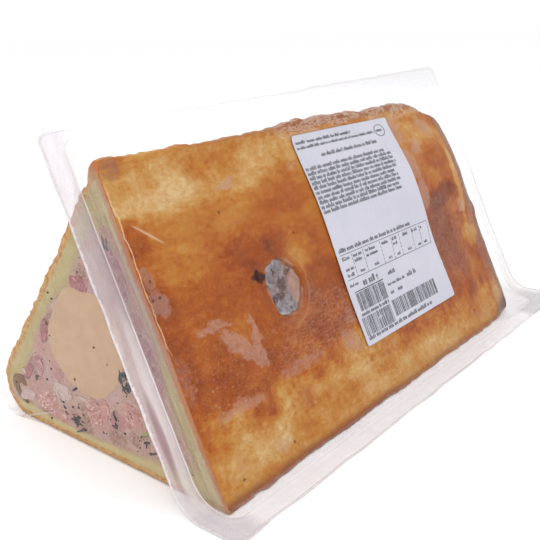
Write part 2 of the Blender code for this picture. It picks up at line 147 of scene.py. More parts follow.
def crustRelief(x, y, z, normal):
    # height of the baked crust over its smooth form
    free = 1 - smoothStep(normal.dot(Vector((-sinLean, -cosLean))), 0.9, 0.995)
    lid = smoothStep(normal.y, 0.8, 0.98)
    place = Vector((x, y, z))
    rough = noise.noise(place * 0.095) + noise.noise(place * 0.26) * 0.55
    height = (1 - 0.55 * lid) * rough + (1 - 0.3 * lid) * noise.noise(place * 0.028)
    height *= free * (1 - overLabel(x, y, 12) * lid)
    crumb = noise.noise(place * 0.55) * 0.35 + noise.noise(place * 1.3) * 0.2
    height += crumb * (1 - 0.75 * lid) * free
    # crumbly rim where the knife went through
    height += (1 - lid) * free * bump(x, 0, 5) * noise.noise(place * 0.33 + Vector((9, 2, 5))) * 0.9
    height += lid * lidSwelling(x, y)
    # lip along the lid's top edge, with a wrinkled ridge beside the label
    height += loaf["lip"] * bump(y, loaf["width"], 4) * smoothStep(z, -12, -3) * (1 - 0.75 * lid)
    first, last = loaf["ridge"]
    ridge = bump(y, loaf["width"] - 1, 5) * smoothStep(z, -14, -4)
    ridge *= smoothStep(x, first, first + 26) * smoothStep(-x, -last, 27 - last)
    folds = math.sin(x / 3.4 + 3 * noise.noise(place * 0.07)) * (1 - 0.75 * lid)
    height += ridge * (loaf["ridgeHeight"] + 0.9 * bump(x, 132, 26) + 0.3 * folds) * (1 - 0.4 * lid)
    # puffed rim round the chimney and the torn scar beside the cut
    reach = math.hypot(x - chimney["centre"][0], y - chimney["centre"][1])
    height += lid * bump(reach, 15, 5)
    scar = bump(x, loaf["scarAt"][0], 4) * bump(y, loaf["scarAt"][1], 9)
    return height - lid * scar * (1.1 + 0.9 * noise.noise(place * 0.4))


def lidHeight(x, y):
    return crustRelief(x, y, 0, Vector((0, 1)))


def endInset(x):
    # how far the sides draw in where the loaf rounds over at its far end
    into = x - (loaf["length"] - loaf["endRadius"])
    return 0 if into <= 0 else loaf["endRadius"] - math.sqrt(max(loaf["endRadius"] ** 2 - into ** 2, 0))


def endFurther(x, y, z):
    # how much further the far end reaches there: more below the middle of the lid than above it
    lower = 1 - smoothStep(y, *loaf["endReachY"])
    top, low = loaf["endReach"]
    reach = top + (low - top) * lower - loaf["cornerTrim"] * (1 - smoothStep(y, -2, 14))
    reach *= smoothStep(x, loaf["endFrom"], loaf["length"])
    return reach * (0.4 + 0.6 * smoothStep(z, -70, -10))


def endSquare(y):
    # how far the lid keeps its height at the far end, 0 to 1
    top, low = loaf["endSquare"]
    return top + (low - top) * (1 - smoothStep(y, *loaf["endReachY"]))


def loafRing(x):
    inset = endInset(x)
    fall = inset * loaf["endFall"]
    far = smoothStep(x, 205, loaf["length"])
    corners = insetCorners(fall, inset * 0.5, inset * 0.15)
    low, top = loaf["lidCorners"]
    outline = roundedTriangle(corners, (low + far, top + 5 * far, loaf["tip"]), ringSides, ringArcs)
    ring = []
    for point, normal in zip(outline, outwardNormals(outline)):
        moved = point + normal * crustRelief(x, point.x, point.y, normal)
        raised = fall * endSquare(point.x) * smoothStep(point.y, -30, -8)
        outwards = min(max((point.x - loaf["width"] / 2) / 55, -1), 1)
        moved += raised * Vector((outwards * cosLean / sinLean, 1))
        under = moved.x * sinLean + moved.y * cosLean - loaf["floorGap"]
        moved -= min(under, 0) * Vector((sinLean, cosLean))
        crumbY, crumbZ = loaf["crumbAt"]
        further = endFurther(x, point.x, point.y)
        further += loaf["crumb"] * far * bump(point.x, crumbY, 4.5) * bump(point.y, crumbZ, 5)
        ring.append(Vector((x + further, moved.x, moved.y)))
    return ring


def underSkin(y, z):
    # how deep a point of the cut lies below the baked surface
    y -= loaf["width"] / 2
    centre = insetCorners(loaf["tip"], loaf["tip"], loaf["tip"])[2].y
    if z - centre < -abs(y) * cosLean / sinLean:
        return loaf["tip"] - math.hypot(y, z - centre)
    return min(-z, (loaf["width"] / 2 - abs(y)) * sinLean + z * cosLean)


def cavityRing(x, inset):
    corners = insetCorners(*(loaf[side + "Pastry"] + inset for side in ("lid", "upper", "lower")))
    outline = roundedTriangle(corners, loaf["cavityRadii"], ringSides, ringArcs)
    ring = []
    for point, normal in zip(outline, outwardNormals(outline)):
        side = 1 - smoothStep(normal.y, 0.6, 0.95)
        wave = side * noise.noise(Vector((x * 0.03, point.x * 0.09, point.y * 0.09)))
        fine = noise.noise(Vector((x * 0.03, point.x * 0.3, point.y * 0.3))) * 0.5
        # the pastry of the upper side is uneven, that of the lower side thickens towards the lid
        z = point.y
        upper = 2.2 * smoothStep(z, -60, -46) + 2 * bump(z, -46, 6) - 0.7 * bump(z, -72, 6)
        upper += 2.4 * smoothStep(-z, 78, 90)
        lower = 2.6 * smoothStep(z, -56, -24) - 0.8 * bump(z, -74, 10) + 1.5 * smoothStep(-z, 92, 106)
        extra = smoothStep(normal.x, 0.5, 0.85) * upper + smoothStep(-normal.x, 0.5, 0.85) * lower
        extra += smoothStep(normal.y, 0.8, 1) * 3.6 * (1 - smoothStep(point.x, 46, 66))
        moved = point - normal * ((0.7 + 0.7 * wave) * side + fine + extra)
        ring.append(Vector((x, moved.x, moved.y)))
    return ring


# Mesh helpers

def growRing(bm, edges, where):
    # extrude a ring of edges once; where gives each new vertex its place
    made = bmesh.ops.extrude_edge_only(bm, edges=edges)["geom"]
    fresh = {part for part in made if isinstance(part, bmesh.types.BMVert)}
    for vert in fresh:
        vert.co = where(vert)
    return [part for part in made if isinstance(part, bmesh.types.BMEdge) and set(part.verts) <= fresh]


def firstRing(bm, ring):
    # a first face and its loop of edges, each vertex marked with its number in the ring
    mark = bm.verts.layers.int.new("mark")
    made = bmesh.ops.create_circle(bm, cap_ends=True, segments=len(ring), radius=1)["verts"]
    for k, vert in enumerate(made):
        vert[mark] = k
        vert.co = ring[k]
    return mark, bm.edges[:]


def finishPiece(bm, name, paint, nodes=(), sharp=45, recalc=True):
    if recalc:
        bmesh.ops.recalc_face_normals(bm, faces=bm.faces)
    bmesh.ops.transform(bm, matrix=toWorld, verts=bm.verts)
    mesh = bpy.data.meshes.new(name)
    bm.to_mesh(mesh)
    bm.free()
    mesh.materials.append(paint)
    mesh.shade_smooth()
    mesh.set_sharp_from_angle(angle=math.radians(sharp))
    piece = bpy.data.objects.new(name, mesh)
    bpy.context.scene.collection.objects.link(piece)
    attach(piece, "root")
    if nodes:
        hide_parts(*nodes)
    print(name, len(mesh.polygons), "faces")


# Shader helpers

studioGain = 1.34                             # how much lighter the studio shows a colour


def shade(red, green, blue):
    # linear colour of a screen colour
    parts = [value / 255 for value in (red, green, blue)]
    linear = [v / 12.92 if v <= 0.04045 else ((v + 0.055) / 1.055) ** 2.4 for v in parts]
    return tuple(v / studioGain for v in linear) + (1,)


class Field:                                  # a socket that can be used in sums
    def __init__(self, paint, socket):
        self.paint = paint
        self.socket = socket

    def sum(self, operation, one, other):
        return self.paint.node("ShaderNodeMath", {"operation": operation}, {0: one, 1: other})

    def __add__(self, other):
        return self.sum("ADD", self, other)

    def __sub__(self, other):
        return self.sum("SUBTRACT", self, other)

    def __rsub__(self, other):
        return self.sum("SUBTRACT", other, self)

    def __mul__(self, other):
        return self.sum("MULTIPLY", self, other)

    def __truediv__(self, other):
        return self.sum("DIVIDE", self, other)

    __radd__ = __add__
    __rmul__ = __mul__


class Paint:                                  # one material and its nodes
    def __init__(self, name):
        self.material = bpy.data.materials.new(name)
        self.material.use_nodes = True
        self.tree = self.material.node_tree
        self.tree.nodes.clear()
        # the place in millimetres, lid up
        sockets = {"Vector": self.node("ShaderNodeTexCoord", out="Object"), "Location": packPlace,
                   "Rotation": (lean, 0, 0), "Scale": (0.001,) * 3}
        self.spot = self.node("ShaderNodeMapping", {"vector_type": "TEXTURE"}, sockets)

    def node(self, kind, settings=None, sockets=None, out=0):
        made = self.tree.nodes.new(kind)
        for key, value in (settings or {}).items():
            if key == "stops":
                ramp = made.color_ramp.elements
                while len(ramp) < len(value):
                    ramp.new(0.5)
                for element, (position, colour) in zip(ramp, value):
                    element.position = position
                    element.color = colour
            else:
                setattr(made, key, value)
        for key, value in (sockets or {}).items():
            if isinstance(value, Field):
                self.tree.links.new(value.socket, made.inputs[key])
            else:
                made.inputs[key].default_value = value
        return Field(self, made.outputs[out])

    def attribute(self, name):
        return self.node("ShaderNodeAttribute", {"attribute_name": name}, None, "Fac")

    def axes(self, vector):
        split = self.node("ShaderNodeSeparateXYZ", None, {0: vector})
        return [Field(self, out) for out in split.socket.node.outputs]

    def noise(self, scale, detail=3, rough=0.55, vector=None, stretch=None, warp=0.0):
        vector = vector or self.spot
        if stretch:
            vector = self.node("ShaderNodeMapping", None, {"Vector": vector, "Scale": stretch})
        return self.node("ShaderNodeTexNoise", None, {"Vector": vector, "Scale": scale, "Detail": detail,
                                                      "Roughness": rough, "Distortion": warp})

    def cells(self, scale, vector=None):
        # distance from the nearest of many scattered points
        sockets = {"Vector": vector or self.spot, "Scale": scale}
        return self.node("ShaderNodeTexVoronoi", None, sockets, "Distance")

    def step(self, value, low, high, least=0.0, most=1.0):
        return self.node("ShaderNodeMapRange", {"interpolation_type": "SMOOTHSTEP"},
                         {"Value": value, 1: low, 2: high, 3: least, 4: most})

    def ridge(self, value, centre, width):
        # thin lines where a value passes the centre
        away = self.node("ShaderNodeMath", {"operation": "ABSOLUTE"}, {0: value - centre})
        return 1 - self.step(away, 0, width)

    def mix(self, share, one, other):
        return self.node("ShaderNodeMix", {"data_type": "RGBA"}, {0: share, 6: one, 7: other}, 2)

    def layers(self, colour, *rows):
        # screen colours laid over a colour in turn, each by its share
        for share, *tint in rows:
            colour = self.mix(share, colour, shade(*tint))
        return colour

    def ramp(self, value, *stops):
        # each stop is its position and a screen colour
        stops = [(position, shade(*tint)) for position, *tint in stops]
        return self.node("ShaderNodeValToRGB", {"stops": stops}, {0: value})

    def warped(self, scale, amount, detail=3):
        # the place, pushed about by noise, for ragged patches
        sockets = {"Vector": self.spot, "Scale": scale, "Detail": detail}
        push = self.node("ShaderNodeTexNoise", None, sockets, "Color")
        push = self.node("ShaderNodeVectorMath", {"operation": "SUBTRACT"}, {0: push, 1: (0.5, 0.5, 0.5)})
        push = self.node("ShaderNodeVectorMath", {"operation": "SCALE"}, {0: push, "Scale": amount})
        return self.node("ShaderNodeVectorMath", {"operation": "ADD"}, {0: self.spot, 1: push})

    def patch(self, x, y, centre, radii, soft=(0.4, 1.6), turn=0):
        # 1 inside an ellipse, fading over its edge
        x, y = x - centre[0], y - centre[1]
        if turn:
            x, y = turned(x, y, math.radians(turn))
        across, along = x / radii[0], y / radii[1]
        return 1 - self.step(across * across + along * along, *soft)

    def finish(self, colour, rough, relief, extra=None, film=None):
        # Principled shader; a film is see-through but for the share that film gives
        bumps = self.node("ShaderNodeBump", None, dict(zip(("Height", "Distance", "Strength"), relief)))
        sockets = {"Base Color": colour, "Roughness": rough, "Normal": bumps, **(extra or {})}
        shader = self.node("ShaderNodeBsdfPrincipled", None, sockets)
        if film:
            clear = self.node("ShaderNodeBsdfTransparent", None, {"Color": (0.985, 0.98, 0.985, 1)})
            shader = self.node("ShaderNodeMixShader", None, {0: film, 1: clear, 2: shader})
        output = self.tree.nodes.new("ShaderNodeOutputMaterial")
        self.tree.links.new(shader.socket, output.inputs[0])
        return self.material


# Pastry

def chimneyUneven(a):
    # the hole's radius towards one side against its mean radius
    return 1 + 0.06 * math.sin(3 * a + 1) + 0.05 * math.sin(5 * a) + 0.03 * math.sin(11 * a)


def chimneyPlace(x, y):
    # a place along the chimney hole's own axes, in its radii
    u, v = turned(x - chimney["centre"][0], y - chimney["centre"][1], chimney["turn"])
    return u / chimney["radii"][0], v / chimney["radii"][1]


def chimneyReach(x, y):
    # 0 at the middle of the chimney hole, 1 on its uneven edge
    u, v = chimneyPlace(x, y)
    return math.hypot(u, v) / chimneyUneven(math.atan2(v, u))


crust = {
    "cavityRings": 8, "cutRings": (0.04, 0.12, 0.24, 0.38, 0.52, 0.66, 0.78, 0.87, 0.94, 1), "dough": 9,
    "stationGap": 1.2, "roundAngles": (18, 34, 48, 60, 70, 80, 90), "endRings": 26, "endMiddle": (65, -42),
    "tornPit": (54.9, 73.2),
}


def pastryCrust(paint):
    # one skin: the cavity from its deep end, the cut face, the baked outside and the far end
    bm = bmesh.new()
    depth = bm.verts.layers.float.new("depth")          # below the baked surface
    inward = bm.verts.layers.float.new("inward")        # from the filling
    deepEnd = loaf["length"] - loaf["endPastry"]
    mark, edges = firstRing(bm, cavityRing(deepEnd, 0))
    for k in range(1, crust["cavityRings"] + 1):
        ring = cavityRing(deepEnd * (1 - k / crust["cavityRings"]), 0)
        edges = growRing(bm, edges, lambda vert: ring[vert[mark]])
    inner, outer = ring, loafRing(0)
    for share in crust["cutRings"]:
        def onCut(vert):
            low, high = inner[vert[mark]], outer[vert[mark]]
            point = low.lerp(high, share)
            vert[depth] = max(underSkin(point.y, point.z), 0.4)
            vert[inward] = share * crust["dough"]
            point.x = 0.12 * noise.noise(point * 0.8) + 0.25 * smoothStep(share, 0.8, 1)
            return point
        edges = growRing(bm, edges, onCut)
    start = loaf["length"] - loaf["endRadius"]
    count = round(start / crust["stationGap"])
    stations = [0.35] + [start * k / count for k in range(1, count + 1)]
    stations += [start + loaf["endRadius"] * math.sin(math.radians(a)) for a in crust["roundAngles"]]
    for x in stations:
        ring = loafRing(x)

        def onSkin(vert):
            vert[depth] = 0
            vert[inward] = crust["dough"]
            return ring[vert[mark]]
        edges = growRing(bm, edges, onSkin)
    for k in range(1, crust["endRings"]):
        share = k / crust["endRings"]

        def onEnd(vert):
            rim = ring[vert[mark]]
            point = rim.lerp(Vector((rim.x, *crust["endMiddle"])), share)
            lump = noise.noise(point * 0.06) * 1.2 + noise.noise(point * 0.3) * 0.5
            flat = loaf["length"] + endFurther(loaf["length"], point.y, point.z) + 0.8
            point.x = rim.x + (flat - rim.x) * smoothStep(share, 0, 0.6) + lump * smoothStep(share, 0, 0.2)
            return point
        edges = growRing(bm, edges, onEnd)
    bmesh.ops.contextual_create(bm, geom=edges)
    pierceLid(bm)
    finishPiece(bm, "pastryCrust", paint, ["crust"], sharp=55)


def pierceLid(bm):
    # finer faces round the chimney, then its hole, ragged rim and the small torn pit beside it
    def near(vert, reach):
        return vert.co.z > -5 and chimneyReach(vert.co.x, vert.co.y) < reach

    close = [edge for edge in bm.edges if all(near(vert, 1.7) for vert in edge.verts)]
    bmesh.ops.subdivide_edges(bm, edges=close, cuts=1, use_grid_fill=True)
    pitX, pitY = crust["tornPit"]
    for vert in bm.verts:
        if not near(vert, 2.2):
            continue
        ragged = noise.noise(vert.co * 0.45)
        reach = chimneyReach(vert.co.x, vert.co.y) + 0.05 * ragged
        pit = math.hypot(vert.co.x - pitX, vert.co.y - pitY)
        vert.co.z += 0.7 * bump(reach, 1.13, 0.1) * (1 + ragged) - 1.4 * (1 - smoothStep(pit, 1.4, 2.8))
        vert.co.z -= chimney["depth"] * (1 - smoothStep(reach, 0.93, 1.05))


# patches on the lid: middle x and y, two half widths, turn in degrees, weight
crustLook = {
    "deep": ((4, 66, 8, 36, 0, 0.1), (30, 40, 26, 9, 0, 0.1), (56, 84, 14, 7, 0, 0.16),
             (72, 84, 8, 7, 0, 0.14), (95, 60, 18, 10, 0, 0.18), (88, 103, 18, 8, 0, 0.14),
             (86, 42, 26, 8, 0, 0.12), (46, 62, 14, 20, 0, 0.06), (208, 78, 14, 6, 10, 0.3),
             (200, 56, 14, 26, 0, 0.22), (196, 22, 22, 7, 0, 0.12), (128, 21, 22, 4, 0, 0.1),
             (4, 101, 6, 7, 0, 0.16), (215, 100, 12, 8, 0, 0.12), (232, 28, 9, 16, 0, 0.1),
             (222, 119, 14, 9, 0, 0.1)),
    "gold": ((84, 78, 10, 8, 0, 0.16), (20, 88, 16, 6, 0, 0.12), (40, 113, 40, 5, 0, 0.1),
             (22, 14, 20, 7, 0, 0.12), (42, 17, 8, 6, 40, 0.14), (100, 26, 14, 14, 0, 0.16),
             (140, 8, 60, 6, 0, 0.12), (212, 114, 18, 7, 0, 0.1), (230, 52, 9, 6, 0, 0.28),
             (229, 82, 3.5, 22, 0, 0.34), (204, 88, 8, 6, 0, 0.1), (90, 122, 22, 6, 0, 0.14),
             (236, 16, 5, 10, 0, 0.18), (18, 116, 24, 9, 0, 0.14)),
    # pinkish where the film lies on without wetting it
    "haze": ((35, 50.5, 12.5, 4, -44, 1), (43.4, 52, 1.9, 10.5, 0, 1), (24, 62.5, 10, 2, -4, 0.8),
             (56.5, 113, 6.5, 1.9, 4, 0.9), (97, 32, 8, 5, -30, 0.8), (102, 42, 4, 4, 0, 0.6),
             (24, 31, 14, 2.6, 0, 0.7), (62, 34, 16, 3, 0, 0.6), (36, 10.5, 5, 3, 0, 0.6),
             (3.2, 49, 3, 10, 0, 0.5), (5, 77.5, 4.4, 5, 0, 0.9), (4.5, 87, 2.2, 4.2, 15, 0.7),
             (14, 14, 6, 4, 0, 0.4), (189, 99, 4, 9, 0, 1.3), (189, 119, 4, 8, 0, 1.3),
             (200, 107, 6, 3, 30, 1.1), (218, 117, 8, 5, -20, 0.7), (190, 82, 5, 10, 0, 0.9),
             (100, 113.5, 3.5, 2, 0, 0.7), (226, 69, 4, 4, 0, 0.8), (122, 20, 8, 4, 0, 0.4),
             (60, 21, 7, 4, 0, 0.4), (52, 98, 12, 4, 0, 0.3), (212, 9, 8, 2.5, 0, 0.5)),
    "fibre": ((84, 47, 26, 12, 0, 1), (64, 40, 14, 6, 0, 0.7), (205, 56, 17, 24, 0, 1),
              (80, 57, 5, 7, -50, 1)),
    "purple": ((200, 58, 12, 18, 0, 0.9), (212, 40, 8, 11, 0, 0.7), (194, 42, 5, 9, 0, 0.7)),
    "bubble": ((26, 42, 22, 10, 0, 1), (51, 49.5, 5, 3.5, 0, 1), (14, 56, 10, 8, 0, 0.5),
               (214, 114, 12, 9, 0, 0.7)),
}


darkDots = ((48, 102.6), (42.4, 9), (11.8, 8.1), (84.5, 85.5),
            (204.5, 13), (3.2, 79.3), (6.4, 79.5), (4.8, 86))


def crustPaint():
    p = Paint("bakedCrust")
    px, py, pz = p.axes(p.spot)
    x, y, _ = p.axes(p.warped(0.24, 9, 6))
    depth, inward = p.attribute("depth"), p.attribute("inward")
    broad = p.noise(0.06, 8, 0.72)
    fine = p.noise(0.45, 6, 0.78)
    grain = p.noise(1.7, 3, 0.7)
    streaks = p.noise(1, 8, 0.74, stretch=(0.045, 0.13, 0.1), warp=0.4)
    threads = p.noise(1, 5, 0.75, stretch=(0.4, 1.1, 0.7), warp=0.5)
    drift, jitter = broad - 0.5, fine - 0.5       # the same about nought

    def patches(kind):
        total = 0.0
        for cx, cy, rx, ry, turn, weight in crustLook[kind]:
            total = p.patch(x, y, (cx, cy), (rx, ry), turn=turn) * weight + total
        return total

    # the lid: golden along its edges, deep orange along its middle where it is wet against the film
    across = py + drift * 70
    middle = p.step(across, 14, 44) * (1 - p.step(across, 76, 116))
    bake = drift * 0.9 + (streaks - 0.5) * 0.6 + jitter * 0.5 + (threads - 0.5) * 0.3 + 0.34
    bake = bake + middle * 0.25 + patches("deep") - patches("gold")
    lid = p.ramp(bake, (0, 224, 190, 136), (0.2, 206, 156, 86), (0.36, 194, 126, 44),
                 (0.54, 177, 91, 10), (0.74, 150, 64, 2), (1, 108, 40, 8))
    # paler and pinkish where it is dry, with curling fibres and little blisters under the film
    veil = patches("haze")
    frost = p.step(fine * 0.6 + grain * 0.4, 0.38, 0.6)
    haze = p.step(veil + jitter * 0.6, 0.2, 0.8) * (frost * 0.45 + 0.2) * p.step(veil, 0, 1, 0.5, 1)
    outline = p.ridge(veil + jitter * 0.3, 0.34, 0.05) * p.step(grain, 0.4, 0.6)
    fibres = p.step(patches("fibre"), 0.1, 0.7)
    curl = p.noise(0.8, 5, 0.72, stretch=(0.6, 1.3, 1), warp=1.4)
    blister = p.ridge(p.cells(0.34, p.warped(0.5, 1.6)), 0.2, 0.055) * p.step(p.noise(0.3, 3), 0.48, 0.56)
    blister = blister + (1 - p.step(p.cells(0.5), 0.1, 0.17)) * p.step(fine, 0.46, 0.54)
    lid = p.layers(
        lid,
        (p.step(p.noise(0.9, 5, 0.75), 0.52, 0.66) * 0.35, 216, 166, 104),
        (p.step(p.noise(0.28, 6, 0.75, warp=0.6), 0.54, 0.68) * 0.3, 150, 72, 26),
        (haze, 196, 158, 142),
        (outline * 0.25, 214, 176, 140),
        (p.step(patches("purple"), 0, 0.9) * 0.4, 134, 66, 38),
        (p.ridge(curl, 0.56, 0.035) * fibres * 0.6, 210, 170, 146),
        (p.ridge(curl, 0.43, 0.04) * fibres * 0.5, 118, 50, 28),
        (blister * p.step(patches("bubble"), 0.1, 0.7) * 0.6, 214, 172, 132),
        (p.step(grain, 0.58, 0.74) * 0.3, 222, 184, 138),
        (p.step(grain, 0.42, 0.28) * 0.3, 132, 66, 30),
    )
    # darker brown along the lower edge, browned upper edges, painted highlights on the ridge's folds and
    # along a crease of the film, the dull corner, the scar and small dark dots
    uneven = jitter * 4 + drift * 5
    lowBrown = (1 - p.step(py + uneven, 2, 5.6)) * p.step(px, 150, 90, 0.55, 0.9)
    topBrown = p.step(py + uneven * 0.4, 128.6, 131) * p.step(px, 20, 70)
    ridgeBrown = p.step(py + uneven * 0.3, 127, 130.5) * p.step(px, 84, 112)
    # painted highlights on the folds of the wrinkled ridge
    ridgeFoldHighlight = p.ridge(streaks + (threads - 0.5) * 0.5, 0.5, 0.045) * p.step(py, 123, 127) * p.step(px, 88, 108)
    dull = p.patch(x, y, (4, 127.5), (5.5, 3.6)) * p.step(fine, 0.35, 0.6)
    # painted highlight: a wet shine where the film leaves the lid beside the cut
    shine = p.ridge(px + jitter * 2 + (p.noise(0.15, 3) - 0.5) * 3, 1.1, 0.55)
    shine = shine * p.step(py, 56, 66) * (1 - p.step(py, 117, 123))
    scar = p.patch(x, y, (5, 77.5), (4.4, 5)) + p.patch(x, y, (4.5, 87), (1.6, 3.4))
    # crease: a painted highlight along a crease of the film near the cut
    crease = p.patch(px, py, (11, 102), (8, 0.6), (0.1, 1.4), -41)
    dots = 0.0
    for spot in darkDots:
        dots = p.patch(px, py, spot, (0.8, 0.7), (0.3, 1.2)) + dots
    lid = p.layers(
        lid,
        (lowBrown, 146, 80, 46),
        (topBrown * 0.6, 160, 98, 54),
        (ridgeBrown * 0.85, 150, 88, 58),
        (ridgeFoldHighlight * 0.75, 226, 204, 182),
        (dull * 0.6, 150, 108, 94),
        (shine * 0.65, 248, 218, 178),
        (scar * p.step(fine, 0.42, 0.56) * 0.6, 142, 92, 84),
        (p.step(dots, 0, 0.8) * 0.7, 84, 42, 28),
        (crease * 0.6, 226, 196, 160),
    )
    # round the chimney: browned, with a ragged pale lip, and the torn pit at its side
    u, v = chimneyPlace(px, py)
    reach = u * u + v * v + jitter * 0.5
    halo = p.ridge(reach, 2.1, 0.16) * p.step(u, 0.2, 0.7)
    lip = (1 - p.step(reach, 1.08, 1.24)) * p.step(reach, 0.6, 0.9)
    pit = p.patch(x, y, crust["tornPit"], (4, 3), (0.3, 1.2)) * p.step(fine, 0.32, 0.42)
    lid = p.layers(
        lid,
        ((1 - p.step(reach, 1.2, 2.6)) * 0.4, 156, 80, 38),
        (halo * 0.4, 208, 160, 116),
        (lip * 0.45, 186, 146, 126),
        (pit * 0.95, 60, 32, 28),
    )
    # the slanted sides and the far end
    tone = broad * 0.9 + fine * 0.4 + p.noise(0.018, 3) * 0.5 - 0.3
    side = p.ramp(tone, (0.42, 226, 182, 118), (0.54, 210, 150, 80),
                  (0.66, 184, 114, 48), (0.78, 138, 78, 36))
    skin = p.mix(p.step(pz + jitter * 2, -6, -2.5), side, lid)
    farBrown = p.step(px + uneven * 0.5 + p.step(py, 90, 50) * -8, 229.5, 234.5) * p.step(pz, -16, -6)
    corner = p.patch(px, py, (243, -1), (15, 12)) * p.step(pz, -26, -14)
    skin = p.layers(skin, (farBrown * 0.7, 144, 92, 66), (corner * 0.9, 104, 54, 34))
    # the cut: browned crumbly rim, yellowish dough, paler next to the filling and along the lower side
    rim = p.ramp(grain * 0.5 + fine * 0.5, (0.4, 168, 98, 42), (0.49, 208, 150, 82), (0.58, 236, 200, 134))
    dough = p.layers(
        p.mix(p.step(p.noise(0.16, 3), 0.38, 0.62), shade(192, 172, 118), shade(200, 184, 134)),
        (p.step(grain, 0.45, 0.62) * 0.5, 220, 204, 158),
        (p.step(fine, 0.5, 0.36) * 0.35, 184, 156, 98),
        ((1 - p.step(py * sinLean + pz * cosLean, 8, 15)) * 0.5, 226, 208, 158),
        ((1 - p.step(inward + (p.noise(0.2, 2) - 0.5) * 3, 1, 2.6)) * 0.8, 194, 170, 138),
    )
    cut = p.mix(p.step(depth + jitter * 4 + (grain - 0.5) * 2, 2.2, 3.4), rim, dough)
    glaze = (1 - p.step(depth + jitter * 2, 1.5, 3.2)) * p.step(pz, -6, -3)
    cut = p.layers(cut, (p.step(pz, -7, -2) * 0.5, 200, 182, 146), (glaze * 0.9, 198, 112, 46))
    colour = p.mix(p.step(depth, 0.05, 0.3), skin, cut)
    height = fine * 0.5 + grain * 0.25 + threads * 0.3
    return p.finish(colour, jitter * 0.3 + 0.38, (height, 0.0006, 0.9), {"Specular IOR Level": 0.22})


# Filling

meat = {
    "frontRings": 22, "middle": (66, -40), "pieceDepth": 8,
    "proud": 0.12, "pieceProud": 0.2, "pieceStep": 0.01,     # how far the cut faces stand out
}
liverOutline = ((96.5, -43.7), (92.6, -35.5), (88.5, -27), (80.5, -22), (70.4, -21.5), (62, -25.5), (56, -33),
                (52.6, -41.1), (51.2, -48.7), (54.2, -57.4), (59.6, -64.2), (66.8, -68), (74.8, -70.2),
                (81.9, -68), (87.4, -63), (92.6, -54))


def fillFront(bm, edges, outline, mark, centre, rings, proud, roughness):
    # close a front face with shrinking rings that carry a slight relief
    for k in range(1, rings):
        share = k / rings

        def onFront(vert):
            point = outline[vert[mark]].lerp(centre, share)
            point.x = -proud - roughness * noise.noise(Vector((3, point.y * 0.35, point.z * 0.35)))
            return point
        edges = growRing(bm, edges, onFront)
    bmesh.ops.contextual_create(bm, geom=edges)


def forcemeat(paint):
    bm = bmesh.new()
    deepEnd = loaf["length"] - loaf["endPastry"] - 0.3
    mark, edges = firstRing(bm, cavityRing(deepEnd, 0.1))
    for x in (deepEnd * 0.75, deepEnd * 0.5, deepEnd * 0.25, 4, 1.2, 0.3, -meat["proud"]):
        ring = cavityRing(max(x, 0), 0.1 - 0.3 * smoothStep(-x, -1.2, -0.3))
        edges = growRing(bm, edges, lambda vert: Vector((x, *ring[vert[mark]].yz)))
    fillFront(bm, edges, ring, mark, Vector((0, *meat["middle"])), meat["frontRings"], meat["proud"], 0.22)
    finishPiece(bm, "forcemeatFilling", paint, ["forcemeat"], sharp=60)


def smoothLoop(points, count):
    # closed smooth curve through (y, z) points
    loop = []
    for k in range(count):
        at = k * len(points) / count
        i = int(at)
        t = at - i
        a, b, c, d = (Vector(points[(i + j) % len(points)]) for j in (-1, 0, 1, 2))
        loop.append(0.5 * (2 * b + (c - a) * t + (2 * a - 5 * b + 4 * c - d) * t * t
                           + (3 * b - 3 * c + d - a) * t * t * t))
    return loop


def liverCore(paint):
    bm = bmesh.new()
    outline = smoothLoop(liverOutline, 120)
    centre = sum(outline, Vector((0, 0))) / len(outline)

    def ringAt(x, scale):
        points = []
        for point in outline:
            edge = centre + (point - centre) * scale
            edge *= 1 + 0.006 * noise.noise(Vector((x * 0.05, *edge)) * 0.5)
            points.append(Vector((x, *edge)))
        return points

    far = loaf["length"] - 3 * loaf["endPastry"]
    mark, edges = firstRing(bm, ringAt(far, 0.5))
    for share, scale in ((0.94, 0.85), (0.8, 0.97), (0.5, 0.95), (0.2, 0.98), (2 / far, 1), (-0.2 / far, 1)):
        ring = ringAt(far * share, scale)
        edges = growRing(bm, edges, lambda vert: ring[vert[mark]])
    fillFront(bm, edges, ring, mark, Vector((0, *centre)), 14, 0.26, 0.1)
    finishPiece(bm, "liverCore", paint, ["liver_core"])


aspicOutline = ((70.5, -102), (71.5, -107), (68, -110.5), (62, -109.5), (57.5, -105.5), (58.5, -103.2),
                (62.2, -105.2), (65.6, -106.6), (67.2, -104), (65, -101.5), (66.5, -99.2), (69.5, -99.6))


def aspicSeam(paint):
    # brown jelly in the tip of the cavity, curling round the last of the meat
    bm = bmesh.new()
    outline = smoothLoop(aspicOutline, 60)
    deepEnd = loaf["length"] - loaf["endPastry"] - 0.5
    mark, edges = firstRing(bm, [Vector((deepEnd, *point)) for point in outline])
    for x in (150, 60, 3, -0.25):
        edges = growRing(bm, edges, lambda vert: Vector((x, *outline[vert[mark]])))
    bmesh.ops.contextual_create(bm, geom=edges)
    finishPiece(bm, "aspicSeam", paint, ["aspic_seam"])


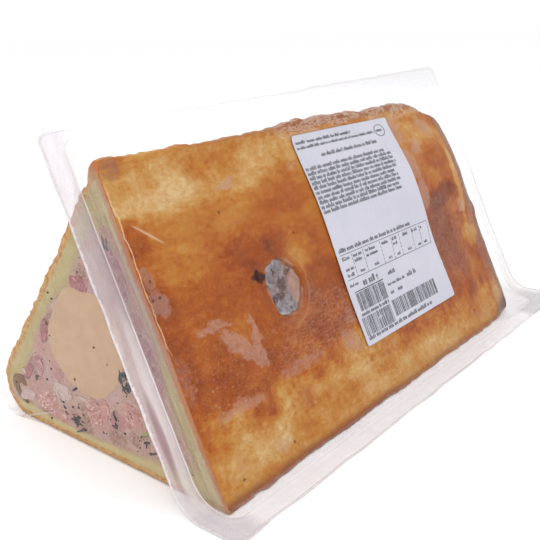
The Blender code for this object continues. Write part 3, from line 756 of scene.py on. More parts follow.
# name, centre (y, z), radii, turn, kind, and the node that it replaces, if any
meatPieces = (
    ("hamPiece1", (41.5, -34.2), (5.0, 6.8), 22, "ham", "ham_chunk_1"),
    ("hamPiece2", (55.2, -87.4), (5.4, 7.6), 20, "striped", "ham_chunk_2"),
    ("hamPiece3", (95.4, -34.5), (3.4, 6.0), 28, "red", "ham_chunk_3"),
    ("hamPiece4", (93, -11.5), (10.5, 4.0), -3, "mauve", "ham_chunk_4"),
    ("hamPiece5", (31.5, -22), (5.0, 3.6), -35, "ham", "ham_chunk_5"),
    ("hamPiece6", (46.5, -57), (5.6, 5.2), 14, "striped", "ham_chunk_6"),
    ("hamPiece7", (48.6, -82), (2.8, 4.6), 24, "ham"),
    ("hamPiece8", (84.2, -70.2), (2.5, 6.0), -50, "red"),
    ("hamPiece9", (47.4, -49), (4.2, 3.2), 10, "ham"),
    ("hamPiece10", (70.6, -94.4), (2.3, 5.6), -24, "red"),
    ("hamPiece11", (71.5, -84.6), (4.0, 3.6), 0, "mauve"),
    ("hamPiece12", (58, -11), (12, 3.2), 2, "mauve"),
    ("fatPiece1", (58.0, -74), (3.7, 6.6), 26, "fat", "fat_chunk_2"),
    ("fatPiece2", (61.0, -101.5), (2.5, 6.2), 8, "fat", "fat_chunk_1"),
    ("fatPiece3", (101, -20.6), (4, 2.4), -10, "fat", "fat_chunk_3"),
    ("fatPiece4", (52.8, -61), (0.9, 3.4), 30, "fat"),
    ("fatPiece5", (71.6, -97.6), (1.2, 1.4), 60, "fat"),
    ("greenPiece1", (33.6, -30), (1.1, 3.2), -16, "green"),
)


def meatPiece(proud, paints, name, centre, radii, turn, kind, *nodes):
    # an uneven lump with its cut side just proud of the meat round it
    bm = bmesh.new()
    bmesh.ops.create_icosphere(bm, subdivisions=4, radius=1)
    shift = Vector((*centre, 3)) * 0.37
    fray = 0.08 if kind == "fat" else 0.15
    for vert in bm.verts:
        uneven = 1 + 0.28 * noise.noise(vert.co * 1.5 + shift) + fray * noise.noise(vert.co * 4.2 + shift)
        x, y, z = vert.co * uneven
        y, z = turned(y * radii[0], z * radii[1], -math.radians(turn))
        vert.co = (x * meat["pieceDepth"], centre[0] + y, centre[1] + z)
    every = bm.verts[:] + bm.edges[:] + bm.faces[:]
    cut = bmesh.ops.bisect_plane(bm, geom=every, plane_co=(-proud, 0, 0), plane_no=(-1, 0, 0),
                                 clear_outer=True)["geom_cut"]
    bmesh.ops.contextual_create(bm, geom=[part for part in cut if isinstance(part, bmesh.types.BMEdge)])
    finishPiece(bm, name, paints[kind], nodes)


# trumpet mushrooms, clusters of short dark strokes:
# name, centre (y, z), reach, number of strokes, turn, spread of the turns, and the replaced node, if any
mushrooms = (
    ("trumpet1", (54.8, -30.2), (4.2, 3.0), 34, 40, 40, "mushroom_1"),
    ("trumpet2", (44.6, -71), (2.4, 3.8), 22, -62, 26, "mushroom_2"),
    ("trumpet3", (42.8, -44.3), (1.8, 0.6), 5, 4, 10, "mushroom_3"),
    ("trumpet4", (105, -10.5), (3.6, 1.2), 9, 12, 20, "mushroom_4"),
    ("trumpet5", (57.7, -63.8), (0.9, 1.5), 6, 78, 8),
    ("trumpet6", (26.4, -29), (0.6, 1.6), 4, -72, 12),
    ("trumpet7", (40.6, -71), (0.5, 3.4), 8, -80, 10),
    ("trumpet8", (39.6, -46.2), (0.8, 1.0), 5, 60, 40),
    ("trumpet9", (30.6, -31), (0.5, 1.0), 2, 60, 20),
    ("trumpet10", (67.2, -89), (0.7, 0.9), 4, 80, 30),
    ("trumpet11", (51.4, -76.6), (3.2, 0.3), 4, -40, 3),
    ("trumpet12", (33.4, -30.4), (0.4, 2.0), 3, 70, 10),
)


def stroke(bm, centre, length, width, turn, proud):
    # one thin lens lying in the cut
    for vert in bmesh.ops.create_icosphere(bm, subdivisions=2, radius=1)["verts"]:
        x, y, z = vert.co
        z += 0.35 * y * y
        uneven = 1 + 0.5 * noise.noise(Vector((y * 2, *centre)))
        along, across = turned(y * length / 2, z * width * uneven / 2, -turn)
        vert.co = (x * 0.35 - proud, centre[0] + along, centre[1] + across)


def mushroomCluster(paint, name, centre, reach, count, turn, spread, *nodes):
    bm = bmesh.new()
    draw = random.Random(name)
    for _ in range(count):
        a = draw.uniform(0, 2 * math.pi)
        out = math.sqrt(draw.random())
        at = (centre[0] + reach[0] * out * math.cos(a), centre[1] + reach[1] * out * math.sin(a))
        tilt = math.radians(turn + draw.gauss(0, spread))
        stroke(bm, at, draw.uniform(1.6, 3.8), draw.uniform(0.35, 0.85), tilt, 0.2)
    finishPiece(bm, name, paint, nodes)


# dark specks seen in the photo, (y, z)
seenSpecks = ((99.9, -32.7), (97.7, -57.2), (94.8, -56.2), (86.5, -66.4), (68.6, -75.8), (68, -107.5),
              (58.6, -105), (50, -66.6), (50.9, -70.6), (71, -40.5), (63.2, -36.4), (48.5, -90),
              (61.5, -61.5), (65, -82), (37.9, -55.7), (30.9, -31.7), (35.8, -42), (81.5, -67.4))


pepper = {"count": 110, "margin": 3, "liver": ((73.5, -46), (23, 25))}


def inTriangle(y, z, margin):
    # whether a place lies in the filling, with a margin to the pastry
    low = y * sinLean + z * cosLean
    high = (loaf["width"] - y) * sinLean + z * cosLean
    return min(low - loaf["lowerPastry"], high - loaf["upperPastry"], -z - loaf["lidPastry"]) > margin


def pepperSpecks(paint):
    bm = bmesh.new()
    draw = random.Random("specks")
    spots = [(*spot, draw.uniform(0.35, 0.6)) for spot in seenSpecks]
    (liverY, liverZ), (halfY, halfZ) = pepper["liver"]
    while len(spots) < pepper["count"]:
        y, z = draw.uniform(15, 115), draw.uniform(-108, -9)
        if inTriangle(y, z, pepper["margin"]) and math.hypot((y - liverY) / halfY, (z - liverZ) / halfZ) > 1:
            spots.append((y, z, draw.uniform(0.08, 0.24)))
    for y, z, radius in spots:
        stroke(bm, (y, z), radius * draw.uniform(2, 3.4), radius * 2, draw.uniform(0, math.pi), 0.18)
    finishPiece(bm, "pepperSpecks", paint)


# seams and soft lumps of the forcemeat: colour, then each one's middle y and z and two half widths
meatLook = {
    "pink": ((200, 142, 140), ((29, -22, 6, 5), (63, -91, 3.5, 7), (67, -73, 6, 3), (80, -77, 5, 4),
                               (40, -53, 5, 4), (75, -94, 3, 5), (24, -13, 8, 3))),
    "lilac": ((200, 164, 166), ((51, -43, 2.6, 8), (93, -30, 3, 4), (68, -80, 6, 4), (36, -59, 3, 4))),
    "brown": ((136, 90, 70), ((35, -47, 4, 6), (40, -67, 3, 5), (52, -94, 2.5, 5), (89, -65, 3.5, 5),
                              (98, -31, 4, 3), (72, -88, 6, 4), (33, -37, 3, 4), (46, -64, 5, 2.5))),
}


def meatPaint():
    p = Paint("forcemeat")
    _, py, pz = p.axes(p.warped(0.35, 5, 4))
    bent = p.warped(0.2, 6, 5)
    lumps = p.node("ShaderNodeTexVoronoi", {"feature": "SMOOTH_F1"},
                   {"Vector": bent, "Scale": 0.15, "Smoothness": 0.5}, "Color")
    tone = p.axes(lumps)[0] + (p.noise(0.6, 5, 0.65) - 0.5) * 0.8
    colour = p.ramp(tone, (0.1, 196, 156, 140), (0.34, 204, 168, 152), (0.5, 188, 146, 134),
                    (0.68, 210, 178, 162), (0.9, 184, 134, 128))
    mottle = p.step(p.noise(0.7, 5, 0.7), 0.36, 0.6)
    for tint, places in meatLook.values():
        for cy, cz, ry, rz in places:
            colour = p.layers(colour, (p.patch(py, pz, (cy, cz), (ry, rz)) * mottle * 0.8, *tint))
    fibre = p.ridge(p.noise(0.5, 5, 0.65, vector=bent, warp=1.4), 0.52, 0.05)
    dark = p.step(p.noise(0.8, 5, 0.75, warp=0.8), 0.6, 0.7)
    colour = p.layers(colour, (fibre * 0.5, 222, 196, 184), (dark * 0.35, 146, 106, 94))
    height = p.noise(1.1, 3) * 0.6 + fibre * 0.4
    return p.finish(colour, 0.36, (height, 0.0002, 0.6), {"Specular IOR Level": 0.3})


def lumpPaint(name, light, main, deep, scale=0.35, stretch=None):
    # ham and fat: marbled with paler, curling strands
    p = Paint(name)
    strands = p.noise(scale, 5, 0.6, vector=p.warped(0.16, 7, 5), stretch=stretch, warp=1.6)
    tone = strands + (p.noise(1.2, 4, 0.7) - 0.5) * 0.3
    colour = p.ramp(tone, (0.34, *deep), (0.46, *main), (0.54, *main), (0.62, *light))
    return p.finish(colour, 0.34, (p.noise(1.2, 3) + strands, 0.0002, 0.5), {"Specular IOR Level": 0.3})


def liverPaint():
    p = Paint("liverPaste")
    speckle = 1 - p.step(p.cells(0.42), 0.07, 0.12) + (1 - p.step(p.cells(1.1), 0.08, 0.16)) * 0.5
    colour = p.layers(
        p.mix(p.step(p.noise(0.12, 4), 0.35, 0.65), shade(205, 169, 134), shade(212, 177, 141)),
        (speckle * 0.45, 160, 118, 92),
        (p.step(p.noise(2.2, 3), 0.3, 0.7) * 0.18, 190, 152, 126),
    )
    return p.finish(colour, 0.38, (p.noise(1.5, 3), 0.0001, 0.5))


def plainPaint(name, one, other, scale, rough):
    p = Paint(name)
    tone = p.noise(scale, 4, 0.6)
    colour = p.mix(p.step(tone, 0.35, 0.65), shade(*one), shade(*other))
    return p.finish(colour, rough, (tone, 0.0002, 0.5))


# Jelly in the chimney

def chimneyOutline(scale, z):
    ring = []
    (cx, cy), (rx, ry) = chimney["centre"], chimney["radii"]
    for k in range(chimney["points"]):
        a = 2 * math.pi * k / chimney["points"]
        size = scale * chimneyUneven(a)
        u, v = turned(rx * size * math.cos(a), ry * size * math.sin(a), -chimney["turn"])
        ring.append(Vector((cx + u, cy + v, z)))
    return ring


def chimneyJelly(paint):
    bm = bmesh.new()
    rim = bm.verts.layers.float.new("rim")
    mark, edges = firstRing(bm, chimneyOutline(0.9, 0.4 - chimney["depth"]))
    base = lidHeight(*chimney["centre"])
    for scale, z in ((0.97, -4), (1.03, base - 1.6), (1.04, base - 0.6)):
        ring = chimneyOutline(scale, z)
        edges = growRing(bm, edges, lambda vert: ring[vert[mark]])
    outline = ring
    centre = Vector((*chimney["centre"], 0))
    for k in range(1, chimney["topRings"]):
        share = k / chimney["topRings"]

        def onTop(vert):
            vert[rim] = 1 - smoothStep(share, 0.02, 0.14)
            point = outline[vert[mark]].lerp(centre, share)
            lumps = noise.noise(point * 0.22) * 1.1 + noise.noise(point * 0.6) * 0.45
            point.z = base - 0.6 - 0.5 * smoothStep(share, 0, 0.25) + lumps * smoothStep(share, 0, 0.3)
            return point
        edges = growRing(bm, edges, onTop)
    bmesh.ops.contextual_create(bm, geom=edges)
    finishPiece(bm, "chimneyJelly", paint, ["chimney_jelly"], sharp=70)


def chimneyPaint():
    p = Paint("greyJelly")
    px = p.axes(p.spot)[0]
    x, y, _ = p.axes(p.warped(0.5, 5, 5))
    cloud = p.noise(0.28, 4, 0.6, warp=0.8)
    colour = p.layers(
        p.ramp(cloud, (0.32, 96, 86, 92), (0.46, 134, 126, 132), (0.6, 160, 150, 152), (0.72, 190, 180, 180)),
        (p.step(px + (cloud - 0.5) * 8, 69, 74) * 0.75, 182, 132, 104),
        (p.patch(x, y, (66.5, 66.5), (6.5, 6.5), (0.1, 1.5)) * 0.45, 118, 80, 74),
    )
    for centre, radii in chimney["bits"]:
        bit = p.patch(x, y, centre, radii, (0.5, 1.2)) * p.step(p.noise(1.3, 4), 0.36, 0.44)
        colour = p.layers(colour, (bit * 0.92, 78, 40, 34))
    edge = p.attribute("rim") * p.step(p.noise(0.9, 3), 0.3, 0.5) * (1 - p.step(px, 68, 74) * 0.7)
    colour = p.layers(colour, (edge * 0.7, 206, 196, 190))
    height = cloud + p.noise(1.4, 3) * 0.4
    return p.finish(colour, 0.24, (height, 0.0005, 0.5), {"Coat Weight": 0.25})


# Film

film = {
    "rimDepth": 11.5, "bendRadius": 14, "ripple": 1.1,
    "lidBox": (0.3, 229, 1.2, 128.6), "lidRadii": (1.5, 12),     # low x, high x, low y, high y
    "rimBox": (-0.9, 274, -9, 144.3), "rimRadii": (6, 12),
    "edgeBox": (-10.5, 284, -18.5, 152.5), "edgeRadii": (3.5, 5),
    "edgeLevel": 0.6, "edgeRise": 8.5,                           # the top edge climbs along the loaf
    "lidLift": 0.4, "formedPoints": (120, 60), "tentRings": 12, "bandRings": 12, "drawnRings": 8,
    "cling": 0.55, "drop": 15,
    # depths below the lid of the formed web's rings, of its tip's middle and where the tip's arc takes over
    "depths": (32, 38, 46, 54, 62, 70, 78, 86, 93, 99, 104, 108, 111, 113.5, 115.4, 116.7),
    "tipMiddle": 101.4, "tipStart": 107.9,
}


def roundCorner(x, y, box, radii):
    # move a point of a box so that the box's corners turn into arcs
    lowX, highX, lowY, highY = box
    radius = radii[0] if x < (lowX + highX) / 2 else radii[1]
    cx = min(max(x, lowX + radius), highX - radius)
    cy = min(max(y, lowY + radius), highY - radius)
    dx, dy = x - cx, y - cy
    reach = max(abs(dx), abs(dy))
    if reach < 1e-6 or abs(dx) < 1e-6 or abs(dy) < 1e-6:
        return x, y
    a = math.pi / 4 * min(abs(dx), abs(dy)) / reach
    long, short = reach * math.cos(a), reach * math.sin(a)
    wide, tall = (long, short) if abs(dx) > abs(dy) else (short, long)
    return cx + math.copysign(wide, dx), cy + math.copysign(tall, dy)


def inBox(u, v, box, radii):
    x = box[0] + (box[1] - box[0]) * u
    y = box[2] + (box[3] - box[2]) * v
    return roundCorner(x, y, box, radii)


bendStart = (0.5 + film["bendRadius"] * (1 - cosLean) + film["rimDepth"] * cosLean) / sinLean


def bend(x, y, lift):
    # the seal band: flat behind the lid, then bent forward along the floor
    if y >= bendStart:
        return Vector((x, y, lift - film["rimDepth"]))
    radius = film["bendRadius"]
    run = bendStart - y
    a = min(run / radius, lean)
    rest = run - a * radius
    reach = radius - lift
    return Vector((x, bendStart - reach * math.sin(a) - rest * math.cos(a),
                   radius - film["rimDepth"] - reach * math.cos(a) + rest * math.sin(a)))


def aboveFloor(point, gap=0.08):
    under = point.y * sinLean + point.z * cosLean - gap
    if under < 0:
        point = point - under * Vector((0, sinLean, cosLean))
    return point


def bandPoint(u, v, share):
    # a point of the seal band, from its rim (0) to its outer edge (1)
    rim = Vector(inBox(u, v, film["rimBox"], film["rimRadii"]))
    edge = Vector(inBox(u, v, film["edgeBox"], film["edgeRadii"]))
    edge.y += v * (u - film["edgeLevel"]) * film["edgeRise"]
    flat = rim.lerp(edge, share)
    place = Vector((flat.x * 0.022, flat.y * 0.022, 3))
    wave = noise.noise(place) * smoothStep(flat.y, 18, 45)
    wave += 0.35 * noise.noise(place * 4) * smoothStep(flat.y, 0, 30)
    frill = noise.noise(Vector((flat.x * 0.07, flat.y * 0.07, 9))) * 0.8
    flat += (edge - rim).normalized() * frill * share
    lift = film["ripple"] * wave * (0.25 + 0.75 * share)
    # the far low corner curls up a little from the floor
    corner = smoothStep(flat.x, 225, 284) * (1 - smoothStep(flat.y, -8, 24))
    lift += corner * share * 1.6
    point = bend(flat.x, flat.y, lift)
    return aboveFloor(point)


def farLid(x, y):
    # height of the lid where it rounds over at the far end, or None past it
    further = endFurther(loaf["length"], y, 0) * smoothStep(x, loaf["endFrom"], loaf["length"])
    if x - further > loaf["length"]:
        return None
    return lidHeight(x, y) - loaf["endFall"] * endInset(x - further) * (1 - endSquare(y))


def topWeb(paint):
    # the flat web: drawn over the lid, then out and down to the seal band
    bm = bmesh.new()
    plan = bm.verts.layers.float_vector.new("plan")
    across = bm.verts.layers.float.new("across")        # -2 on the lid, 0 at the rim, 1 at the edge
    bmesh.ops.create_grid(bm, x_segments=150, y_segments=80, size=0.5)
    for vert in bm.verts:
        u, v = vert.co.x + 0.5, vert.co.y + 0.5
        x, y = inBox(u, v, film["lidBox"], film["lidRadii"])
        border = min(min(u, 1 - u) * 229, min(v, 1 - v) * 127)      # millimetres from the lid's edge
        vert[plan] = (u, v, 0)
        vert[across] = -2 + 0.5 * bump(border, 0, 3)
        vert.co = (x, y, lidHeight(x, y) + film["lidLift"])
    edges = [edge for edge in bm.edges if edge.is_boundary]
    starts = {}
    for edge in edges:
        for vert in edge.verts:
            starts[tuple(round(c, 5) for c in vert[plan])] = vert.co.copy()
    for k in range(1, film["tentRings"] + 1):
        t = k / film["tentRings"]

        def onTent(vert):
            u, v, _ = vert[plan]
            start = starts[tuple(round(c, 5) for c in vert[plan])]
            rim = bandPoint(u, v, 0)
            vert[across] = t - 1
            outX = 1 - (1 - t) ** 3 if rim.x < start.x else t
            outY = 1 - (1 - t) ** 1.25
            point = Vector((start.x + (rim.x - start.x) * outX, start.y + (rim.y - start.y) * outY,
                            start.z + (rim.z - start.z) * t ** 1.1))
            folds = noise.noise(Vector((start.x * 0.11, start.y * 0.11, t * 1.3))) * 0.7
            point.z += folds * math.sin(math.pi * t)
            under = farLid(point.x, point.y) if point.x > 225 and 0 < point.y < 129 else None
            if under is not None:
                point.z = max(point.z, under + film["lidLift"])
            return aboveFloor(point, 0.5)
        edges = growRing(bm, edges, onTent)
    for k in range(1, film["bandRings"] + 1):
        share = k / film["bandRings"]

        def onBand(vert):
            vert[across] = share
            return aboveFloor(bandPoint(*vert[plan].xy, share) + Vector((0, 0, 0.12)), 0.3)
        edges = growRing(bm, edges, onBand)
    for face in bm.faces:
        face.normal_update()
    finishPiece(bm, "filmTopWeb", paint, ["film_pack"], sharp=180, recalc=False)


def formedPoint(u, v, depth):
    # the deep web where it clings to the slanted sides, at a depth below the lid
    cling = film["cling"]
    length = loaf["length"] + 1.2 - 4 * smoothStep(depth, 90, 116)
    if depth < film["tipStart"]:
        low = depth * cosLean / sinLean - 0.25 / sinLean
        high = loaf["width"] - depth * cosLean / sinLean + cling / sinLean
    else:
        half = math.sqrt(max((loaf["tip"] + cling) ** 2 - (depth - film["tipMiddle"]) ** 2, 0.5))
        low, high = loaf["width"] / 2 - half, loaf["width"] / 2 + half
    radius = min(4, (high - low) / 2.2)
    x, y = inBox(u, v, (-0.75, length, low, high), (1.2, radius))
    place = Vector((x, y, -depth))
    side = smoothStep(v, 0.9, 1)
    height = crustRelief(x, y, -depth, Vector((cosLean, sinLean))) * side
    x += noise.noise(place * 0.08) * 0.15 * (1 if u < 0.5 else 4) + endFurther(x, y, -depth)
    return Vector((x, y + max(height, 0) * 1.1, -depth))


def bottomWeb(paint):
    # the formed web: in from the rim under the band, then down round the loaf to its tip
    bm = bmesh.new()
    plan = bm.verts.layers.float_vector.new("plan")
    across = bm.verts.layers.float.new("across")        # 1 at the outer edge, below -2 further in
    wide, tall = film["formedPoints"]
    loop = [(k / wide, 0) for k in range(wide)] + [(1, k / tall) for k in range(tall)]
    loop += [(1 - k / wide, 1) for k in range(wide)] + [(0, 1 - k / tall) for k in range(tall)]
    first = bmesh.ops.create_circle(bm, segments=len(loop), radius=1)["verts"]
    for (u, v), vert in zip(loop, first):
        vert[plan] = (u, v, 0)
        vert.co = bandPoint(u, v, 1) - Vector((0, 0, 0.1))
        vert[across] = 1
    edges = bm.edges[:]
    for share in (0.75, 0.5, 0.25, 0):
        def onBand(vert):
            vert[across] = -2.5
            return aboveFloor(bandPoint(*vert[plan].xy, share) - Vector((0, 0, 0.1)), 0.04)
        edges = growRing(bm, edges, onBand)
    for k in range(1, film["drawnRings"] + 1):
        t = k / film["drawnRings"]

        def drawnIn(vert):
            u, v, _ = vert[plan]
            rim = bandPoint(u, v, 0)
            vert[across] = -2.5
            low = v * film["drop"] + (1 - v) * 1.5
            foot = formedPoint(u, v, film["rimDepth"] + low)
            out = 1 - (1 - t) ** 1.6
            point = rim.lerp(foot, t)
            point.z = rim.z + (foot.z - rim.z) * t ** 1.6
            point.x = rim.x + (foot.x - rim.x) * out
            point.y = rim.y + (foot.y - rim.y) * out
            return aboveFloor(point, 0.04)
        edges = growRing(bm, edges, drawnIn)
    for depth in film["depths"]:
        def onSide(vert):
            u, v, _ = vert[plan]
            vert[across] = -3
            point = formedPoint(u, v, depth)
            spare = smoothStep(depth, 96, 116) * (1 - smoothStep(point.x, 0, 26))
            point += Vector((-2.5 * spare, 0, -3.2 * spare))
            return aboveFloor(point, 0.04)
        edges = growRing(bm, edges, onSide)
    bmesh.ops.contextual_create(bm, geom=edges)
    bmesh.ops.recalc_face_normals(bm, faces=bm.faces)
    finishPiece(bm, "filmFormedWeb", paint, ["film_pack"], sharp=180, recalc=False)


def filmPaint():
    p = Paint("clearFilm")
    x, y, z = p.axes(p.spot)
    across = p.attribute("across")
    cloudy = p.noise(0.06, 4, 0.6, warp=0.6)
    crease = p.noise(0.09, 4, 0.6, warp=1.2)
    ragged = p.noise(0.5, 4, 0.7)
    alongY = p.noise(1, 4, 0.65, stretch=(0.5, 0.03, 0.5))
    alongX = p.noise(1, 4, 0.65, stretch=(0.025, 0.5, 0.5))
    onBand = p.step(across, -0.03, 0.02)
    onTent = p.step(across, -1.02, -0.98) * (1 - onBand)
    onTop = p.step(across, -1.3, -1.0)
    left = 1 - p.step(x, -1, 9)
    low = (1 - p.step(y, -3, 8)) * p.step(x, -1, 9)
    # heat seal's faint cross hatch
    weave = p.node("ShaderNodeTexWave", {"wave_type": "BANDS", "bands_direction": "DIAGONAL"},
                   {"Vector": p.spot, "Scale": 0.7, "Distortion": 1.5, "Detail": 1.0}, "Fac")
    # greyer film at the far end: its own grey tint with painted shade
    right = p.step(x, 241, 250) * (1 - p.step(y, 75, 115))
    band = 0.05 + left * (0.4 + (alongY - 0.5) * 0.5 + (weave - 0.5) * 0.05) + right * 0.26
    band = band + low * (0.03 + (alongX - 0.5) * 0.3) + (crease - 0.5) * 0.2
    # a painted highlight: a bright patch on the seal band at the cut end
    brightHighlight = p.patch(across, y, (0.24, 38), (0.34, 42), (0.0, 1.5)) * left
    dark = p.patch(across, y, (0.6, 33), (0.2, 19), (0.1, 1.4)) * left
    # painted highlights: bright lines along the film's outer edge, and a thin one across the band away from
    # the cut end
    edgeHighlight = p.step(across + (ragged - 0.5) * 0.3 * left, 0.84, 1.0) * (0.18 + left * 0.36 - low * 0.1)
    edgeHighlight = edgeHighlight + p.ridge(across, 0.42, 0.035) * (1 - left) * (1 - low) * 0.14
    # a painted highlight: a bright line along the rim, where the band meets the drawn-in film
    rimHighlight = p.step(across, -0.05, -0.01) * (1 - p.step(across, 0.02, 0.05)) * (0.12 + left * 0.26)
    # thin crease lines of the film; over the cut they give faint painted glints
    lines = p.ridge(crease, 0.52, 0.02)
    wall = 0.04 + left * (0.14 + (alongY - 0.5) * 0.9) + low * (0.16 + (alongX - 0.5) * 0.8) + lines * 0.12
    wall = wall + right * 0.03
    overCut = (1 - p.step(x, -0.5, 0.5)) * (1 - onTop)
    # a painted highlight along an upright fold of the film over the cut
    filmFoldHighlight = p.patch(y + (z + 96) * 0.08, z, (51.6, -97), (0.35, 19), (0.3, 1.2)) * overCut
    haze = onBand * (band + brightHighlight * 0.26 + dark * 0.14) + onTent * wall + edgeHighlight + rimHighlight + filmFoldHighlight * 0.4
    haze = haze + overCut * lines * 0.05
    gloss = p.node("ShaderNodeFresnel", None, {"IOR": 1.45}) * (0.1 + onTop * 0.16 + overCut * 0.05)
    share = p.node("ShaderNodeClamp", None, {0: haze + gloss, 1: 0.0, 2: 0.92})
    clear = 1 - p.step(haze, 0.03, 0.16)
    middle = p.step(y, 38, 62) * (1 - p.step(y, 96, 112))
    milk = p.layers(
        p.mix(left, shade(244, 238, 236), shade(238, 226, 232)),
        (left * onTent * middle, 214, 198, 206),
        (left * onTent * (1 - middle), 240, 224, 198),
        (left * onBand * p.step(y, 60, 85) * 0.6, 204, 194, 204),
        # painted highlights, in near white
        (p.step(brightHighlight + edgeHighlight + rimHighlight, 0.1, 0.6) * 0.7, 254, 248, 250),
        (dark * onBand * 0.8, 156, 120, 132),
        # the greyer far end, partly painted shade
        (right, 206, 204, 202),
    )
    colour = p.mix(clear, milk, shade(250, 250, 252))
    ripple = crease * 0.7 + ragged * 0.1
    return p.finish(colour, cloudy * 0.12 + 0.12, (ripple, 0.0012, 0.5), {"Metallic": clear}, share)


# Label

def labelRight(y):
    # the label's right edge slants where the paper follows the swollen lid
    return label["x"][1] - label["slant"] * smoothStep(y, 28, 92)


def labelSpot(x, y, lift):
    wrinkle = 0.16 * noise.noise(Vector((x * 0.18, y * 0.035, 4)))
    wrinkle += 0.1 * noise.noise(Vector((x * 0.06, y * 0.06, 1)))
    return Vector((x, y, lidHeight(x, y) + label["lift"] + wrinkle + lift))


def labelPaper(paint):
    bm = bmesh.new()
    bmesh.ops.create_grid(bm, x_segments=54, y_segments=64, size=0.5)
    box = (*label["x"], *label["y"])
    for vert in bm.verts:
        x, y = inBox(vert.co.x + 0.5, vert.co.y + 0.5, box, (label["corner"],) * 2)
        u = (x - box[0]) / (box[1] - box[0])
        vert.co = labelSpot(box[0] + (labelRight(y) - box[0]) * u, y, 0)
    bmesh.ops.recalc_face_normals(bm, faces=bm.faces)
    if bm.faces[:][0].normal.z < 0:
        bmesh.ops.reverse_faces(bm, faces=bm.faces)
    bmesh.ops.solidify(bm, geom=bm.faces[:], thickness=label["paper"])
    finishPiece(bm, "labelPaper", paint, ["label"], sharp=40)


printWork = {
    "step": 2.4, "height": 0.05, "thickness": 0.09, "line": 0.28, "dashes": 64, "columnDashes": 6,
    # rows of small marks: y, height of the marks, then the first and last x of each run
    "rows": ((122.6, 1.7, (107.2, 150)), (120.1, 1.6, (107.2, 169)), (115, 2.1, (121.5, 168)),
             (70.4, 2.1, (108, 169)), (66.4, 1.8, (108.6, 114.6), (117, 124), (126.8, 135),
              (140.8, 147), (150, 154.6), (160, 164.6), (168.4, 173.6), (177, 179)),
             (64, 1.7, (117, 124), (126.8, 137.6), (150, 154.6)), (61.4, 1.8, (109, 115)),
             (58.6, 1.8, (109, 115.4)), (58.6, 1.6, (119, 123), (131, 135.4), (143.6, 146.6),
              (151.4, 154.4), (162, 166), (172, 175), (178, 182)), (54, 1.4, (107.8, 114.6)),
             (52, 2.1, (139, 145)), (47, 1.6, (136, 152)), (47.3, 2.6, (154, 163.4)),
             (43, 2.1, (136.2, 140), (142.8, 148)), (40, 1.8, (109, 133)), (29, 2.2, (108, 168))),
    "paragraph": (109.9, 89.2, 10, 106.8, 175.4, 2.05),
    "boldWord": (53.2, 118, 131, 3.5),
    "table": (68.3, 56.6, 108, 184.6), "columns": (116, 125, 139.5, 149, 156.5, 168.5, 176, 184.4),
    "codes": ((50, 41.5, 110, 133.5), (38.6, 30, 108, 132), (39.5, 31.6, 134.2, 176)),
    "codeTop": (50.3, 110, 133.5),
    "ring": (174.6, 120.2, 4.6),
}


def printMark(bm, x0, y0, x1, y1):
    # a thin printed rectangle that follows the paper
    columns = max(1, round(abs(x1 - x0) / printWork["step"]))
    rows = max(1, round(abs(y1 - y0) / printWork["step"]))
    made = bmesh.ops.create_grid(bm, x_segments=columns, y_segments=rows, size=0.5)["verts"]
    for vert in made:
        x = x0 + (x1 - x0) * (vert.co.x + 0.5)
        y = y0 + (y1 - y0) * (vert.co.y + 0.5)
        vert.co = labelSpot(x, y, printWork["height"])


def printRow(bm, draw, y, first, last, size):
    # one line of print: blocks of uneven height in groups
    x = first
    while x < last:
        for _ in range(draw.randint(2, 8)):
            wide = size * draw.uniform(0.3, 0.46)
            if x + wide > last:
                break
            base = y - size * 0.4
            printMark(bm, x, base, x + wide, base + size * draw.choice((0.62, 0.66, 0.7, 0.95)))
            x += wide + size * 0.13
        x += size * 0.36


def stripes(bm, draw, top, foot, first, last):
    # upright bars of chance widths
    x = first
    while x < last:
        bar = draw.choice((0.3, 0.35, 0.6, 0.9))
        printMark(bm, x, foot, x + bar, top)
        x += bar + draw.choice((0.25, 0.3, 0.5, 0.7))


def labelPrint(paint):
    bm = bmesh.new()
    draw = random.Random("label")
    for y, size, *runs in printWork["rows"]:
        for first, last in runs:
            printRow(bm, draw, y, first, last, size)
    top, foot, lines, first, last, size = printWork["paragraph"]
    for k in range(lines):
        end = last - draw.uniform(0, 6)
        printRow(bm, draw, top + (foot - top) * k / (lines - 1), first, end, size)
    printRow(bm, draw, *printWork["boldWord"])
    line = printWork["line"]
    high, low, first, last = printWork["table"]
    for y in (high, low):
        for k in range(printWork["dashes"]):
            x = first + (last - first) * k / printWork["dashes"]
            printMark(bm, x, y, x + 1.3, y + line)
    for x in printWork["columns"]:
        for k in range(printWork["columnDashes"]):
            y = low + (high - low) * k / printWork["columnDashes"]
            printMark(bm, x, y, x + line, y + 1.4)
    for code in printWork["codes"]:
        stripes(bm, draw, *code)
    y, first, last = printWork["codeTop"]
    printMark(bm, first, y, last, y + 2 * line)
    cx, cy, radius = printWork["ring"]
    made = bmesh.ops.create_circle(bm, segments=40, radius=1)
    rim = [edge for edge in bm.edges if set(edge.verts) <= set(made["verts"])]
    inner = growRing(bm, rim, lambda vert: vert.co)
    moved = {vert for edge in inner for vert in edge.verts}
    for vert in set(made["verts"]) | moved:
        scale = radius * (0.88 if vert in moved else 1)
        vert.co = labelSpot(cx + vert.co.x * scale, cy + vert.co.y * scale * 0.72, printWork["height"])
    printRow(bm, draw, cy + 0.2, cx - 3.2, cx + 3.2, 1.8)
    bmesh.ops.recalc_face_normals(bm, faces=bm.faces)
    wrong = [face for face in bm.faces if face.normal.z < 0]
    bmesh.ops.reverse_faces(bm, faces=wrong)
    bmesh.ops.solidify(bm, geom=bm.faces[:], thickness=printWork["thickness"])
    finishPiece(bm, "labelPrint", paint, sharp=30)


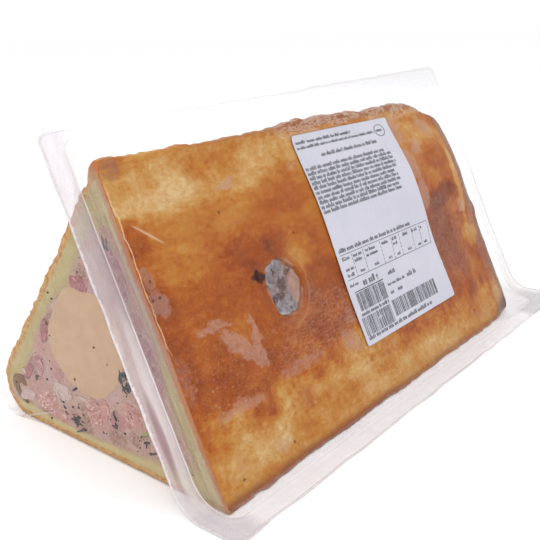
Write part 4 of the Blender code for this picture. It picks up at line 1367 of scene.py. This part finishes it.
def paperPaint():
    p = Paint("labelPaper")
    colour = p.mix(p.step(p.noise(0.05, 3), 0.3, 0.7), shade(207, 206, 219), shade(201, 200, 214))
    wrinkle = p.noise(1, 3, 0.5, stretch=(0.16, 0.03, 0.1))
    return p.finish(colour, 0.32, (wrinkle, 0.0012, 0.5), {"Coat Weight": 0.25})


# Build

pastryCrust(crustPaint())
forcemeat(meatPaint())
liverCore(liverPaint())
aspicSeam(plainPaint("brownJelly", (120, 76, 44), (144, 98, 62), 0.3, 0.3))
darkMushroom = plainPaint("darkMushroom", (44, 50, 56), (98, 102, 104), 0.9, 0.45)
piecePaints = {
    "ham": lumpPaint("pinkHam", (222, 182, 170), (200, 148, 138), (176, 118, 112)),
    "striped": lumpPaint("stripedHam", (244, 220, 210), (200, 148, 138), (172, 114, 110),
                         0.8, (1, 1.1, 0.25)),
    "mauve": lumpPaint("mauveHam", (210, 174, 168), (184, 138, 136), (160, 104, 110), 0.5),
    "red": lumpPaint("redHam", (206, 160, 160), (172, 112, 112), (142, 78, 84), 0.6),
    "fat": lumpPaint("paleFat", (222, 204, 196), (208, 182, 174), (194, 156, 148)),
    "green": plainPaint("greenHerb", (178, 170, 110), (160, 148, 96), 0.8, 0.4),
}
for k, row in enumerate(meatPieces):
    # no two cut faces lie in one plane
    meatPiece(meat["pieceProud"] + meat["pieceStep"] * k, piecePaints, *row)
for row in mushrooms:
    mushroomCluster(darkMushroom, *row)
pepperSpecks(plainPaint("pepper", (58, 48, 46), (84, 66, 60), 1.5, 0.5))
chimneyJelly(chimneyPaint())
print("food made")
filmFinish = filmPaint()
topWeb(filmFinish)
bottomWeb(filmFinish)
labelPaper(paperPaint())
labelPrint(plainPaint("printInk", (78, 78, 86), (104, 104, 112), 0.6, 0.4))
print("pack made")


# Studio

studio = {
    "floorHalf": 60, "white": (0.95, 0.95, 0.955, 1), "floorRough": 0.8, "sky": 1.04, "aim": (0, 0, 0.05),
    # name, place, width and height, power
    "lamps": (("keyLight", (-0.9, -0.5, 1.3), (0.7, 0.9), 8),
              ("frontLight", (-0.35, -1.6, 0.8), (1.4, 0.6), 4),
              ("backLight", (0.9, 0.9, 1.2), (1.2, 0.8), 4)),
    "focal": 50, "sensor": 36,
    "cameraPlace": (-0.29651, -0.21507, 0.15976), "cameraTurn": (72.323, 1.589, -50.703),
}


def wideFloor():
    bm = bmesh.new()
    bmesh.ops.create_grid(bm, x_segments=1, y_segments=1, size=studio["floorHalf"])
    mesh = bpy.data.meshes.new("studioFloor")
    bm.to_mesh(mesh)
    bm.free()
    paint = bpy.data.materials.new("studioWhite")
    paint.use_nodes = True
    shader = paint.node_tree.nodes["Principled BSDF"]
    shader.inputs["Base Color"].default_value = studio["white"]
    shader.inputs["Roughness"].default_value = studio["floorRough"]
    mesh.materials.append(paint)
    floor = bpy.data.objects.new("studioFloor", mesh)
    bpy.context.scene.collection.objects.link(floor)


def softLight(name, place, size, power):
    lamp = bpy.data.lights.new(name, "AREA")
    lamp.shape = "RECTANGLE"
    lamp.size, lamp.size_y = size
    lamp.energy = power
    light = bpy.data.objects.new(name, lamp)
    light.location = place
    light.rotation_euler = (Vector(studio["aim"]) - Vector(place)).to_track_quat("-Z", "Y").to_euler()
    bpy.context.scene.collection.objects.link(light)


wideFloor()
for row in studio["lamps"]:
    softLight(*row)

world = bpy.data.worlds.new("studio")
world.use_nodes = True
world.node_tree.nodes["Background"].inputs[0].default_value = (1, 1, 1, 1)
world.node_tree.nodes["Background"].inputs[1].default_value = studio["sky"]
bpy.context.scene.world = world
bpy.context.scene.view_settings.view_transform = "Standard"

lens = bpy.data.cameras.new("camera")
lens.lens = studio["focal"]
lens.sensor_width = studio["sensor"]
lens.clip_start = 0.01
camera = bpy.data.objects.new("camera", lens)
camera.location = studio["cameraPlace"]
camera.rotation_euler = [math.radians(a) for a in studio["cameraTurn"]]
bpy.context.scene.collection.objects.link(camera)
bpy.context.scene.camera = camera

print("studio made")
